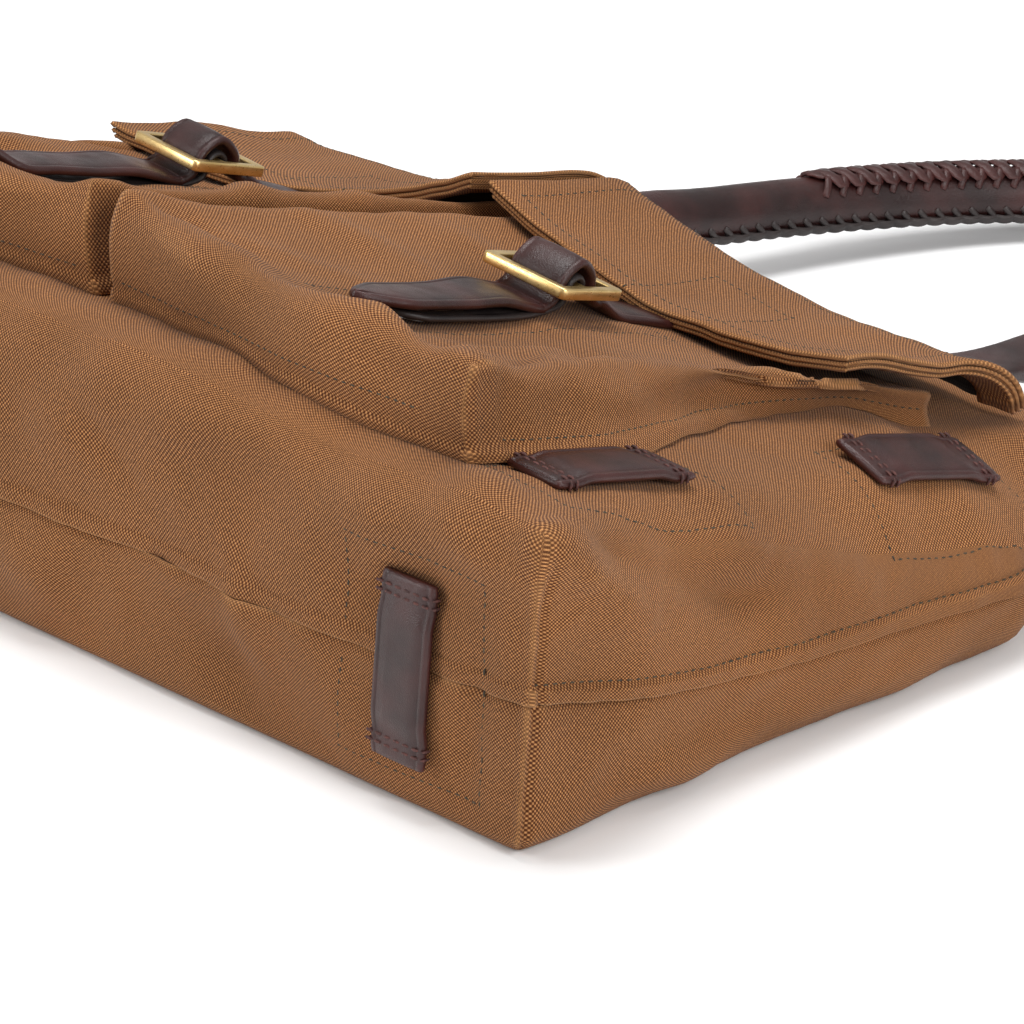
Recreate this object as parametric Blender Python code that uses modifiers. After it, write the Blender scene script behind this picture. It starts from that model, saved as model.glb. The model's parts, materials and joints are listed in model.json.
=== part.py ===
"""Canvas doctor bag with two bellows pockets, lying on its back.

X runs across the bag, Y from its bottom to its mouth and beyond it to the handles, and Z
from the back panel up to the front panel. Design lengths are in millimetres. The empty
"bag" carries them into Blender's metres and puts the origin under the middle of the bag.
"""

from math import atan, cos, hypot, pi, radians, sin

import bmesh
import bpy
from mathutils import Matrix, Vector

MM = 0.001
ORIGIN_Y = 288.2  # from the bag's bottom to the middle of its whole length, handles included

# Body
LENGTH = 300.0
DEPTH = 109.0
FRONT_SLOPE = 0.2  # how fast the front falls towards the mouth
FRONT_EDGE = 268.0  # where the fixed front panel ends and the moving mouth band starts
CANVAS = 2.0
LINING = 1.2
GAP = 0.3
SEAM_GAP = 1.2  # between the front and back halves, where they are sewn together
HALF_WIDTHS = ((0, 218), (60, 221), (215, 219), (300, 197))
SEAM_HEIGHTS = ((0, 54), (215, 21.6), (268, 32), (300, 32))
FRONT_CORNERS = ((0, 8), (60, 26), (300, 26))
BACK_CORNER = (14.0, 8.0)  # width and height of the back panel's rounded sides
CORNER_LEAN = 8.0  # how far the bottom corners lean outwards over the bag's depth
SLUMP = 5.0  # how far the front sinks at the pockets' outer sides
MOUTH_LIFT = 20.0  # how far the back panel's mouth edge lies over the table
HOLLOW = ((150, 30), (200, 25), (240, 25), (285, MOUTH_LIFT))  # room for the folded handle

# Mouth
MOUTH_AXIS = Vector((0, 268, 32))
BAR_HALF_WIDTH = 172.0
TAPE_Y = 296.5
TAPE_HALF_WIDTH = 168.0
SLIDER_X = 150.0

# Pockets and their flaps
POCKET_X = 84.0
POCKET_HALF_WIDTH = 76.0
POCKET_BOTTOM = 35.0
POCKET_MOUTH = 240.0
GUSSET_TUCK = 5.0
FLAP_HALF_WIDTH = 80.0
FLAP_EDGE = 191.0
FLAP_FOOT = 267.0
FOOT_HEIGHT = 5.0
FLAP_LIFT = 4.6  # room for the strap between a pocket's face and its flap
FLAP_ROWS = (FLAP_EDGE, 206, 222, POCKET_MOUTH, 248, 254, 259, 263, 265.6, FLAP_FOOT)

# Leather straps and loops
STRAP_WIDTH = 22.0
LEATHER = 3.0
BASE_LEATHER = 2.0
BAR_Y = 143.0  # the buckle's centre bar
BAR_HEIGHT = 26.4
TAIL_TIP = 54.0
SNAP_Y = 84.0
SNAP_RADIUS = 7.0
LOOP_LENGTH = 55.0
LOOP_RISE = 6.5

# Handles
HANDLE_HALF_WIDTH = 104.0
HANDLE_ROOT = 305.5
HANDLE_REACH = 268.0
FRONT_TAB_Z = 42.2
BACK_TAB_Z = 23.9
FRONT_HANDLE_AXIS = (0, HANDLE_ROOT - 1, FRONT_TAB_Z)
BACK_HANDLE_AXIS = (0, 302, 20)
FOLD_BACK = 5.5  # how much nearer the folded handle starts
FOLD_LOSS = 28.0  # how much of its reach goes round the mouth's edge
COVER_RADIUS = 10.8
COVER_THICKNESS = 1.8
FLAT_END = (13.5, 3.6)  # half width and half height of a handle's sewn ends
CORE_RADIUS = 8.0
WRAP_THICKNESS = 1.4
WRAP_GAP = 1.1  # between the cover and the wrap round it
WRAP_START = 40.0  # degrees along the arch
CORE_START = 25.0


def material(name, colour, roughness, metallic=0.0):
    made = bpy.data.materials.new(name)
    made.use_nodes = True
    shader = made.node_tree.nodes["Principled BSDF"]
    shader.inputs["Base Color"].default_value = (*colour, 1)
    shader.inputs["Roughness"].default_value = roughness
    shader.inputs["Metallic"].default_value = metallic
    made.diffuse_color = (*colour, 1)
    return made


# Number helpers


def clamp(value, low, high):
    return max(low, min(high, value))


def ease(value, low, high):
    """0 at low, 1 at high, and smooth in between."""
    t = clamp((value - low) / (high - low), 0, 1)
    return t * t * (3 - 2 * t)


def along(stations, value):
    """Reads a value from a list of (place, value) stations, straight between them."""
    for (low, a), (high, b) in zip(stations, stations[1:]):
        if value <= high:
            return a + (b - a) * clamp((value - low) / (high - low), 0, 1)
    return stations[-1][1]


def smooth_path(points, steps):
    """Points on a smooth curve through the given ones, steps to each stretch."""
    ends = [2 * points[0] - points[1], *points, 2 * points[-1] - points[-2]]
    path = []
    for a, b, c, d in zip(ends, ends[1:], ends[2:], ends[3:]):
        for step in range(steps):
            t = step / steps
            straight = 2 * b + (c - a) * t
            curved = (2 * a - 5 * b + 4 * c - d) * t**2 + (3 * b - a - 3 * c + d) * t**3
            path.append((straight + curved) / 2)
    return path + [points[-1]]


# The bag's own surfaces


def front_height(x, y):
    """Height of the front panel's outer face, away from its rounded sides."""
    return DEPTH - FRONT_SLOPE * y - SLUMP * (abs(x) / (POCKET_X + FLAP_HALF_WIDTH)) ** 2


def back_height(x, y):
    """Height of the back panel's outer face: flat, but hollow over the back handle."""
    across = 1 - ease(abs(x), 118, 152)
    hollow = along(HOLLOW, y) * across * ease(y, 8, 42)
    return max(hollow, MOUTH_LIFT * ease(y, 215, 290))


def section_point(a, c, y, inset, front):
    """A point of the body's outline at y. a runs from -1 to 1 across, c from 0 at the side
    seam to 1 at the face."""
    face_height = front_height if front else back_height
    width = along(HALF_WIDTHS, y)
    seam = along(SEAM_HEIGHTS, y)
    rise = abs(face_height(width, y) - seam)
    corner_x = along(FRONT_CORNERS, y)
    corner_z = min(corner_x, rise * 0.9)
    if not front:
        corner_x, corner_z = BACK_CORNER
    inner_x = clamp(a * width, corner_x - width, width - corner_x)
    inner_z = min(c * rise, rise - corner_z)
    dx = (a * width - inner_x) / corner_x
    dz = (c * rise - inner_z) / corner_z
    length = hypot(dx, dz)
    if length > 0:
        scale = max(abs(dx), abs(dz)) / length
        dx *= scale
        dz *= scale
    x = inner_x + dx * corner_x
    x -= inset * (x / width) ** 9
    share = (inner_z + dz * corner_z) / rise
    outwards = 1 if front else -1
    z = seam + (face_height(x, y) - seam) * share
    z += outwards * (SEAM_GAP / 2 * (1 - share) - inset * share)
    lean = CORNER_LEAN * (1 - ease(y, 0, 120)) * z / DEPTH
    return Vector((x + lean * clamp(a * 1.2, -1, 1), y, z))


def on_front(x, y, height):
    """A point at a height over the front panel."""
    return Vector((x, y, front_height(x, y) + height))


def pocket_height(across, y):
    """Height of a pocket's face over the front panel: full at its edges, sunk at its
    strap. across runs from -1 to 1 over the pocket's width."""
    edge = along(((POCKET_BOTTOM, 32), (FLAP_EDGE, 26), (POCKET_MOUTH, 28)), y)
    sunk = ((POCKET_BOTTOM, 27), (80, 18), (130, 15.5), (175, 14), (POCKET_MOUTH, 20))
    middle = along(sunk, y)
    return middle + (edge - middle) * across * across


# Builders of meshes and objects


def scaled(name, bm, finish, parent, smooth=True):
    """Makes the object of a mesh drawn in millimetres."""
    bmesh.ops.scale(bm, vec=(MM, MM, MM), verts=bm.verts)
    mesh = bpy.data.meshes.new(name)
    bm.to_mesh(mesh)
    bm.free()
    made = bpy.data.objects.new(name, mesh)
    mesh.materials.append(finish)
    parts.objects.link(made)
    made.parent = parent
    if smooth:
        mesh.shade_smooth()
        mesh.set_sharp_from_angle(angle=radians(40))
    return made


def thicken(made, thickness, offset):
    """Turns an open surface into a shell. An offset of -1 lies under the surface."""
    solid = made.modifiers.new("Thickness", "SOLIDIFY")
    solid.thickness = thickness * MM
    solid.offset = offset
    solid.use_even_offset = True
    return made


def grid(bm, across, up, place):
    """Adds a grid over -1..1 by -1..1 and moves each of its points to place(u, v)."""
    made = bmesh.ops.create_grid(bm, x_segments=across, y_segments=up, size=1)
    for vertex in made["verts"]:
        vertex.co = place(vertex.co.x, vertex.co.y)
    return made["verts"]


def face_outwards(bm, centre):
    """Turns all faces away from the centre that the surface wraps round."""
    bmesh.ops.recalc_face_normals(bm, faces=bm.faces)
    outwards = sum((f.calc_center_median() - centre).dot(f.normal) for f in bm.faces)
    if outwards < 0:
        bmesh.ops.reverse_faces(bm, faces=bm.faces)


def face_towards(bm, direction):
    """Turns an open sheet's faces so that most of it looks in one direction."""
    bmesh.ops.recalc_face_normals(bm, faces=bm.faces)
    if sum(f.normal.dot(direction) for f in bm.faces) < 0:
        bmesh.ops.reverse_faces(bm, faces=bm.faces)


def half_body(name, front, start, end, inset, thickness, counts, finish, parent):
    """One half of the body: its face, its sides and, from the bottom, half the bottom."""
    across, up, rise = counts
    bm = bmesh.new()

    def face(u, v):
        y = start + (end - start) * (v + 1) / 2
        return section_point(u, 1, y, inset_at(y), front)

    def side(u, v):
        y = start + (end - start) * (v + 1) / 2
        return section_point(sign, (u + 1) / 2, y, inset_at(y), front)

    def bottom(u, v):
        return section_point(u, (v + 1) / 2, start, inset_at(start), front)

    def inset_at(y):
        return inset[0] + (inset[1] - inset[0]) * clamp((y - start) / (end - start), 0, 1)

    grid(bm, across, up, face)
    for sign in (-1, 1):
        grid(bm, rise, up, side)
    if start < FRONT_EDGE:
        grid(bm, across, rise, bottom)
    bmesh.ops.remove_doubles(bm, verts=bm.verts, dist=0.01)
    middle = Vector((0, (start + end) / 2, along(SEAM_HEIGHTS, (start + end) / 2)))
    face_outwards(bm, middle)
    return thicken(scaled(name, bm, finish, parent), thickness, -1)


def ribbon(name, path, width, thickness, finish, parent, x, tip=0.0, raised=False):
    """A flat strap along a path of (y, z) points at x. A tip narrows its first end. Its
    thickness lies on both sides of the path or, if raised, on its outer side."""
    bm = bmesh.new()
    last = len(path) - 1

    def place(u, v):
        y, z = path[round((v + 1) / 2 * last)]
        reach = hypot(y - path[0][0], z - path[0][1])
        full = 1 if tip == 0 else 0.3 + 0.7 * clamp(reach / tip, 0, 1) ** 0.7
        return Vector((x + u * width / 2 * full, y, z))

    grid(bm, 2, last, place)
    face_towards(bm, Vector((0, -0.3, 1)))
    return thicken(scaled(name, bm, finish, parent), thickness, 1 if raised else 0)


def box(size, centre):
    """A guide mesh of a box, for joining or cutting."""
    bm = bmesh.new()
    bmesh.ops.create_cube(bm, size=1)
    bmesh.ops.scale(bm, vec=size, verts=bm.verts)
    bmesh.ops.translate(bm, vec=centre, verts=bm.verts)
    return bm


def rod(radius, length, centre, axis, sides=16):
    """A guide mesh of a round rod along an axis."""
    bm = bmesh.new()
    turn = Vector((0, 0, 1)).rotation_difference(Vector(axis)).to_matrix()
    bmesh.ops.create_cone(
        bm, cap_ends=True, segments=sides, radius1=radius, radius2=radius, depth=length
    )
    bmesh.ops.rotate(bm, cent=(0, 0, 0), matrix=turn, verts=bm.verts)
    bmesh.ops.translate(bm, vec=centre, verts=bm.verts)
    return bm


def combine(made, operation, bm):
    """Joins or cuts an object with a guide mesh, by a Boolean modifier."""
    guide = scaled(made.name + "_" + operation.lower(), bm, made.data.materials[0], None, False)
    guide.parent = made.parent
    parts.objects.unlink(guide)
    guides.objects.link(guide)
    guide.hide_render = True
    guide.display_type = "WIRE"
    change = made.modifiers.new(operation.title(), "BOOLEAN")
    change.operation = operation
    change.solver = "EXACT"
    change.object = guide


def solid(name, bm, finish, parent, added=(), cut=()):
    """A solid object from one mesh, with others added to it and cut from it."""
    made = scaled(name, bm, finish, parent)
    for extra in added:
        combine(made, "UNION", extra)
    for extra in cut:
        combine(made, "DIFFERENCE", extra)
    return made


def pivot(name, place, parent):
    """An empty on a joint's axis. What it carries is still drawn in the bag's own lengths."""
    axle = bpy.data.objects.new(name, None)
    parts.objects.link(axle)
    axle.parent = parent
    axle.location = Vector(place) * MM
    carrier = bpy.data.objects.new(name + "_carrier", None)
    parts.objects.link(carrier)
    carrier.parent = axle
    carrier.location = -world_place(axle)
    return carrier


def world_place(axle):
    """An axle's place in the bag's own frame."""
    place = axle.location.copy()
    above = axle.parent
    while above is not None and above.parent is not None:
        place += above.location
        above = above.parent
    return place


# Sub-parts


def make_body(bag):
    front_counts, back_counts, lining_counts = (20, 12, 3), (20, 14, 3), (20, 12, 2)
    half_body("front_panel", True, 0, FRONT_EDGE, (0, 0), CANVAS, front_counts, canvas, bag)
    half_body("back_panel", False, 0, LENGTH, (0, 0), CANVAS, back_counts, canvas, bag)
    for name, front, end, inset in (("front", True, 238, 5), ("back", False, 262, 8)):
        made = half_body(
            name + "_lining", front, 6, end, (inset, inset), LINING, lining_counts, lining, bag
        )
        made.location.z = (GAP if front else -GAP) * MM


def make_mouth(bag, mouth):
    half_body(
        "front_band", True, FRONT_EDGE + GAP, LENGTH, (3.2, 1), CANVAS, (20, 3, 2), canvas, mouth
    )
    levels = {"front": 38.0, "back": 28.2}
    carriers = {"front": mouth, "back": bag}
    lug_places = {"front": BAR_HALF_WIDTH + 4, "back": BAR_HALF_WIDTH - 2}
    for side, z in levels.items():
        lug_x = lug_places[side]
        legs = []
        for sign in (-1, 1):
            x = sign * lug_x
            legs.append(box((4, 22, 3), (x, 277, z)))
            legs.append(rod(6.5, 4, (x, *MOUTH_AXIS.yz), (1, 0, 0), 20))
            legs.append(box((4, 6, abs(z - MOUTH_AXIS.z)), (x, 271, (z + MOUTH_AXIS.z) / 2)))
        hole = rod(2.4, 2 * BAR_HALF_WIDTH + 40, MOUTH_AXIS, (1, 0, 0), 12)
        crossbar = box((2 * lug_x + 4, 8, 3), (0, 289, z))
        solid("frame_bar_" + side, crossbar, steel, carriers[side], legs, [hole])
    for name, sign in (("left", -1), ("right", 1)):
        shaft = rod(2, 14, (sign * (BAR_HALF_WIDTH + 1.2), *MOUTH_AXIS.yz), (1, 0, 0), 12)
        head = rod(3.6, 1.6, (sign * (BAR_HALF_WIDTH + 7.4), *MOUTH_AXIS.yz), (1, 0, 0), 16)
        solid("frame_pin_" + name, shaft, steel, bag, [head])
    for side, z, height in (("front", 36.9, 7.2), ("back", 28.1, 5.4)):
        tape = box((2 * TAPE_HALF_WIDTH, 1.0, height), (0, TAPE_Y, z))
        solid("zip_tape_" + side, tape, cloth, carriers[side])
    for name, sign in (("left", -1), ("right", 1)):
        end = box((8, 3, 4.4), (sign * (TAPE_HALF_WIDTH + 4.6), TAPE_Y, 28.1))
        solid("zip_end_" + name, end, leather, bag)


def make_slider(bag):
    """The zip's slider, with a plate on each side of the tapes, and its puller."""
    slider = pivot("zip_slide", (SLIDER_X, TAPE_Y, 32), bag)
    outer_y = TAPE_Y + 2.3
    post_y = outer_y + 3.6
    outer = box((14, 1.6, 9), (SLIDER_X, outer_y, 32))
    extras = [
        box((13, 1.4, 8), (SLIDER_X, TAPE_Y - 2.2, 32)),
        box((4, 4.4, 0.9), (SLIDER_X + 4, TAPE_Y, 32)),
    ]
    for sign in (-1, 1):
        ear = box((3.4, 5.2, 1.2), (SLIDER_X, outer_y + 2.4, 32 + sign * 3.4))
        extras.append(ear)
    extras.append(rod(0.9, 7.2, (SLIDER_X, post_y, 32), (0, 0, 1), 12))
    solid("zip_slider", outer, brass, slider, extras)
    puller = pivot("zip_puller_hinge", (SLIDER_X, post_y, 32), slider)
    barrel = rod(2.3, 4.4, (SLIDER_X, post_y, 32), (0, 0, 1), 16)
    tab = box((26, 1.6, 4.4), (SLIDER_X + 14.5, post_y, 32))
    hole = rod(1.25, 8, (SLIDER_X, post_y, 32), (0, 0, 1), 12)
    solid("zip_puller", barrel, brass, puller, [tab], [hole])


def pocket_x(sign, across, half_width=POCKET_HALF_WIDTH):
    return sign * POCKET_X + across * half_width


def make_pocket(name, sign, bag):
    """A pocket's face and the bellows gusset round three of its sides."""
    bm = bmesh.new()

    def face(u, v):
        y = POCKET_BOTTOM + (POCKET_MOUTH - POCKET_BOTTOM) * (v + 1) / 2
        return on_front(pocket_x(sign, u), y, pocket_height(u, y))

    grid(bm, 8, 10, face)
    face_towards(bm, Vector((0, 0, 1)))
    thicken(scaled("pocket_face_" + name, bm, canvas, bag), CANVAS, -1)

    side_steps, bottom_steps = 8, 8
    route = []
    for step in range(side_steps):
        y = POCKET_MOUTH + (POCKET_BOTTOM - POCKET_MOUTH) * step / side_steps
        route.append((-1, y))
    for step in range(bottom_steps):
        route.append((-1 + 2 * step / bottom_steps, POCKET_BOTTOM))
    for step in range(side_steps + 1):
        y = POCKET_BOTTOM + (POCKET_MOUTH - POCKET_BOTTOM) * step / side_steps
        route.append((1, y))
    bm = bmesh.new()

    def gusset(u, v):
        across, y = route[round((u + 1) / 2 * (len(route) - 1))]
        t = (v + 1) / 2
        tuck = GUSSET_TUCK * (1 - abs(v)) + 1.2
        if y == POCKET_BOTTOM:
            y += tuck
        reach = across * (1 - tuck / POCKET_HALF_WIDTH) if abs(across) == 1 else across
        low, high = 1.5, pocket_height(across, y) - CANVAS - 2.4
        return on_front(pocket_x(sign, reach), y, low + (high - low) * t)

    grid(bm, len(route) - 1, 2, gusset)
    centre = on_front(sign * POCKET_X, (POCKET_BOTTOM + POCKET_MOUTH) / 2, 12)
    face_outwards(bm, centre)
    thicken(scaled("pocket_gusset_" + name, bm, canvas, bag), CANVAS, -1)


def flap_height(across, y):
    """Height of a flap's under face over the front panel, from its edge to its foot."""
    if y <= POCKET_MOUTH:
        return pocket_height(clamp(across, -1, 1), y) + FLAP_LIFT
    low = pocket_height(clamp(across, -1, 1), POCKET_MOUTH) + FLAP_LIFT
    turn = clamp((y - POCKET_MOUTH) / (FLAP_FOOT - POCKET_MOUTH), 0, 1)
    return FOOT_HEIGHT + (low - FOOT_HEIGHT) * (1 - turn**2.6) ** 0.6


def make_flap(name, sign, flap):
    """A pocket's flap: canvas outside, thin lining inside."""

    def sheet(lift, half_width, first):
        def place(u, v):
            y = max(FLAP_ROWS[round((v + 1) / 2 * (len(FLAP_ROWS) - 1))], first)
            point = on_front(pocket_x(sign, u, half_width), y, flap_height(u, y) + lift)
            point.y += lift * sin(ease(y, POCKET_MOUTH - 4, FLAP_FOOT - 4) * pi / 2)
            return point

        return place

    for node, lift, half_width, first, thickness, finish in (
        ("flap_", 2.0, FLAP_HALF_WIDTH, FLAP_EDGE, CANVAS, canvas),
        ("flap_lining_", 0.0, FLAP_HALF_WIDTH - 2, FLAP_EDGE + 1.5, LINING, lining),
    ):
        bm = bmesh.new()
        grid(bm, 6, len(FLAP_ROWS) - 1, sheet(lift, half_width, first))
        face_towards(bm, Vector((0, 0, 1)))
        thicken(scaled(node + name, bm, finish, flap), thickness, 1)


def strap_level(y, lift):
    """A point on a pocket's middle line, lift above the pocket's face."""
    return Vector((y, front_height(POCKET_X, y) + pocket_height(0, y) + lift))


def make_strap(name, sign, flap, bag):
    """The flap's strap, which arches over the buckle's bar, its base strap and its snap."""
    x = sign * POCKET_X
    bar = Vector((BAR_Y, front_height(POCKET_X, BAR_Y) + BAR_HEIGHT))
    slope = Vector((1, -FRONT_SLOPE)).normalized()
    rise = Vector((FRONT_SLOPE, 1)).normalized()

    def by_bar(places):
        return [bar + slope * forward + rise * up for forward, up in places]

    tail = [strap_level(TAIL_TIP, 10), *(strap_level(y, 6.9) for y in (74, 92, 108))]
    half_arch = ((15.2, -5.1), (12.2, -4.8), (8.6, -1.2), (6.6, 4.4), (0, 7.6))
    arch = by_bar([(-forward, up) for forward, up in half_arch])
    arch += by_bar(reversed(half_arch[:-1]))
    end = [strap_level(y, 2.6) for y in (172, 186, 200)]
    path = smooth_path([*tail, *arch, *end], 2)
    ribbon("flap_strap_" + name, path, STRAP_WIDTH, LEATHER, leather, flap, x, 14)
    base = [strap_level(y, 4.0) for y in (68, 84, 100)] + [strap_level(126, 2.1)]
    wrap = by_bar(((-6.4, -7.3), (-3.4, -2.6), (-2.4, 2.4), (2.4, 2.4), (3.3, -2.0)))
    path = smooth_path([*base, *wrap], 2)
    ribbon("base_strap_" + name, path, STRAP_WIDTH - 1, BASE_LEATHER, leather, flap, x, 10)
    for node, lift, radius, height, carrier in (
        ("snap_stud_", 1.9, SNAP_RADIUS, 1.4, flap),
        ("snap_magnet_", -CANVAS - 1.8, SNAP_RADIUS + 1, 1.8, bag),
    ):
        place = strap_level(SNAP_Y, lift)
        solid(node + name, rod(radius, height, (x, *place), (0, *rise), 20), steel, carrier)
    return bar


def make_buckle(name, sign, bar, buckle):
    """A square frame of square rod with a round bar across its middle."""
    x = sign * POCKET_X
    tilt = Matrix.Rotation(-atan(FRONT_SLOPE), 4, "X")
    centre = Vector((x, bar.x, bar.y))
    outer, inner = Vector((34, 31, 3.6)), Vector((26.6, 23.6, 8))
    frame = box(outer, (0, 0, 0))
    window = box(inner, (0, 0, 0))
    rod_bar = rod(1.5, 30, (0, 0, 0), (1, 0, 0), 10)
    for bm in (frame, window, rod_bar):
        bmesh.ops.transform(bm, matrix=Matrix.Translation(centre) @ tilt, verts=bm.verts)
    made = scaled("buckle_" + name, frame, brass, buckle)
    combine(made, "DIFFERENCE", window)
    combine(made, "UNION", rod_bar)
    return made


def make_loop(name, path, x, bag):
    """A leather loop: flat where it is sewn down at both ends, raised between them."""
    ribbon(name, path, STRAP_WIDTH, LEATHER, leather, bag, x, raised=True)


def loop_profile():
    """Places along a loop and its rise over what it is sewn on."""
    end = LOOP_LENGTH / 2
    return (
        (-end, 0),
        (-end + 12, 0),
        (-end + 17, LOOP_RISE),
        (0, LOOP_RISE + 0.6),
        (end - 17, LOOP_RISE),
        (end - 12, 0),
        (end, 0),
    )


def make_loops(bag):
    """Four loops along the front panel's sides and two on the bottom panel."""
    for side, sign in (("left", -1), ("right", 1)):
        x = sign * 191
        for place, centre in (("lower", 58), ("upper", 196)):
            path = []
            for t, rise in loop_profile():
                y = centre + t
                path.append((y, side_margin_height(y) + rise))
            make_loop("side_loop_" + place + "_" + side, path, x, bag)
        path = [(-GAP - rise, 50 + t) for t, rise in reversed(loop_profile())]
        make_loop("bottom_loop_" + side, path, sign * 174, bag)


def side_margin_height(y):
    """A straight line just over the front panel's margin, beside the pockets."""
    return front_height(180, y) + 1.0


def arch_point(theta, reach, height):
    x = -HANDLE_HALF_WIDTH * cos(theta)
    return Vector((x, HANDLE_ROOT + reach * sin(theta), height))


def tube(name, centres, sides_of, sizes, thickness, finish, parent, around=8):
    """A hollow tube with open ends. sizes gives its half width and half height."""
    bm = bmesh.new()
    last = len(centres) - 1

    def place(u, v):
        index = round((v + 1) / 2 * last)
        ahead = centres[min(index + 1, last)] - centres[max(index - 1, 0)]
        side = sides_of[index]
        up = side.cross(ahead).normalized()
        wide, high = sizes[index]
        turn = pi * u
        return centres[index] + side * (wide * cos(turn)) + up * (high * sin(turn))

    grid(bm, around, last, place)
    bmesh.ops.remove_doubles(bm, verts=bm.verts, dist=0.02)
    bmesh.ops.recalc_face_normals(bm, faces=bm.faces)
    bm.faces.ensure_lookup_table()
    first = bm.faces[0]
    centre = min(centres, key=lambda c: (c - first.calc_center_median()).length)
    if (first.calc_center_median() - centre).dot(first.normal) < 0:
        bmesh.ops.reverse_faces(bm, faces=bm.faces)
    return thicken(scaled(name, bm, finish, parent), thickness, -1)


def arch_side(theta, reach):
    """The level direction that points out of the handle's arch."""
    return Vector((-cos(theta) / HANDLE_HALF_WIDTH, sin(theta) / reach, 0)).normalized()


def front_level(y):
    """Height of the front handle's middle, which droops from the mouth to the table."""
    droop = ((HANDLE_ROOT, FRONT_TAB_Z), (340, 34), (400, 25), (480, 19.5), (575, 14))
    return along(droop, y)


def back_level(y):
    """Height of the folded back handle's middle, under the back panel."""
    return along(((150, 13.9), (200, 11.2)), y)


def make_handle(name, parent):
    """A handle: a round core in a sewn leather cover, with a laced wrap on its middle."""
    folded = name == "back"
    reach = FOLD_LOSS - HANDLE_REACH if folded else HANDLE_REACH
    steps = 36
    centres, sides, sizes = [], [], []
    for step in range(steps + 1):
        theta = pi * step / steps
        point = arch_point(theta, reach, 0)
        if folded:
            point.y -= FOLD_BACK
        point.z = back_level(point.y) if folded else front_level(point.y)
        flat = ease(min(theta, pi - theta), 0.06, 0.28)
        centres.append(point)
        sides.append(arch_side(theta, reach))
        wide, high = (size + (COVER_RADIUS - size) * flat for size in FLAT_END)
        sizes.append((wide, high))
    tube("handle_cover_" + name, centres, sides, sizes, COVER_THICKNESS, leather, parent)
    first = round(steps * WRAP_START / 180)
    part = slice(first, steps + 1 - first)
    radius = COVER_RADIUS + WRAP_GAP + WRAP_THICKNESS
    wrap_sizes = [(radius, radius)] * len(centres[part])
    wrap = "handle_wrap_" + name
    tube(wrap, centres[part], sides[part], wrap_sizes, WRAP_THICKNESS, leather, parent, 10)
    first = round(steps * CORE_START / 180)
    make_core("handle_core_" + name, centres[first : steps + 1 - first], parent)


def make_core(name, centres, parent):
    curve = bpy.data.curves.new(name, "CURVE")
    curve.dimensions = "3D"
    curve.bevel_depth = CORE_RADIUS * MM
    curve.bevel_resolution = 2
    curve.use_fill_caps = True
    spline = curve.splines.new("POLY")
    spline.points.add(len(centres) - 1)
    for point, centre in zip(spline.points, centres):
        point.co = (*(centre * MM), 1)
    curve.materials.append(rope)
    made = bpy.data.objects.new(name, curve)
    parts.objects.link(made)
    made.parent = parent


def make_handle_tabs(name, z, parent):
    """The sewn leather ends that hold a handle inside the mouth's edge."""
    for side, sign in (("left", -1), ("right", 1)):
        tab = box((26, 16, 2.4), (sign * HANDLE_HALF_WIDTH, 293, z))
        solid("handle_tab_" + name + "_" + side, tab, leather, parent)


# The model

for old in list(bpy.data.objects):
    bpy.data.objects.remove(old)
parts = bpy.data.collections.new("doctor_bag")
guides = bpy.data.collections.new("guides")
bpy.context.scene.collection.children.link(parts)
bpy.context.scene.collection.children.link(guides)

canvas = material("canvas", (0.26, 0.13, 0.06), 0.9)
leather = material("leather", (0.045, 0.02, 0.017), 0.45)
lining = material("lining", (0.02, 0.018, 0.02), 0.95)
cloth = material("zip_cloth", (0.09, 0.05, 0.03), 0.9)
rope = material("handle_core", (0.4, 0.33, 0.24), 0.95)
brass = material("brass", (0.72, 0.48, 0.16), 0.35, 1.0)
steel = material("frame_steel", (0.5, 0.5, 0.5), 0.4, 1.0)

bag = bpy.data.objects.new("bag", None)
parts.objects.link(bag)
bag.location = (0, -ORIGIN_Y * MM, 0)

make_body(bag)
mouth = pivot("mouth_hinge", MOUTH_AXIS, bag)
make_mouth(bag, mouth)
make_slider(bag)
for name, sign in (("left", -1), ("right", 1)):
    make_pocket(name, sign, bag)
    foot = on_front(sign * POCKET_X, FLAP_FOOT, FOOT_HEIGHT)
    flap = pivot("flap_hinge_" + name, foot, bag)
    make_flap(name, sign, flap)
    bar = make_strap(name, sign, flap, bag)
    buckle = pivot("buckle_hinge_" + name, (sign * POCKET_X, bar.x, bar.y), flap)
    make_buckle(name, sign, bar, buckle)
make_loops(bag)
make_handle_tabs("front", FRONT_TAB_Z, mouth)
make_handle_tabs("back", BACK_TAB_Z, bag)
make_handle("front", pivot("front_handle_hinge", FRONT_HANDLE_AXIS, mouth))
make_handle("back", pivot("back_handle_hinge", BACK_HANDLE_AXIS, bag))
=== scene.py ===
"""Looks of the canvas doctor bag: its cloth, leather, brass and stitching.

Shapes are drawn in the bag's own millimetres: X across, Y from its bottom to its mouth, Z up
from the back panel to the front panel. world() carries them into the frame's metres.
"""

import json
from math import atan, cos, exp, hypot, pi, radians, sin

import bmesh
import bpy
from mathutils import Matrix, Vector, noise
from mathutils.bvhtree import BVHTree

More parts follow.
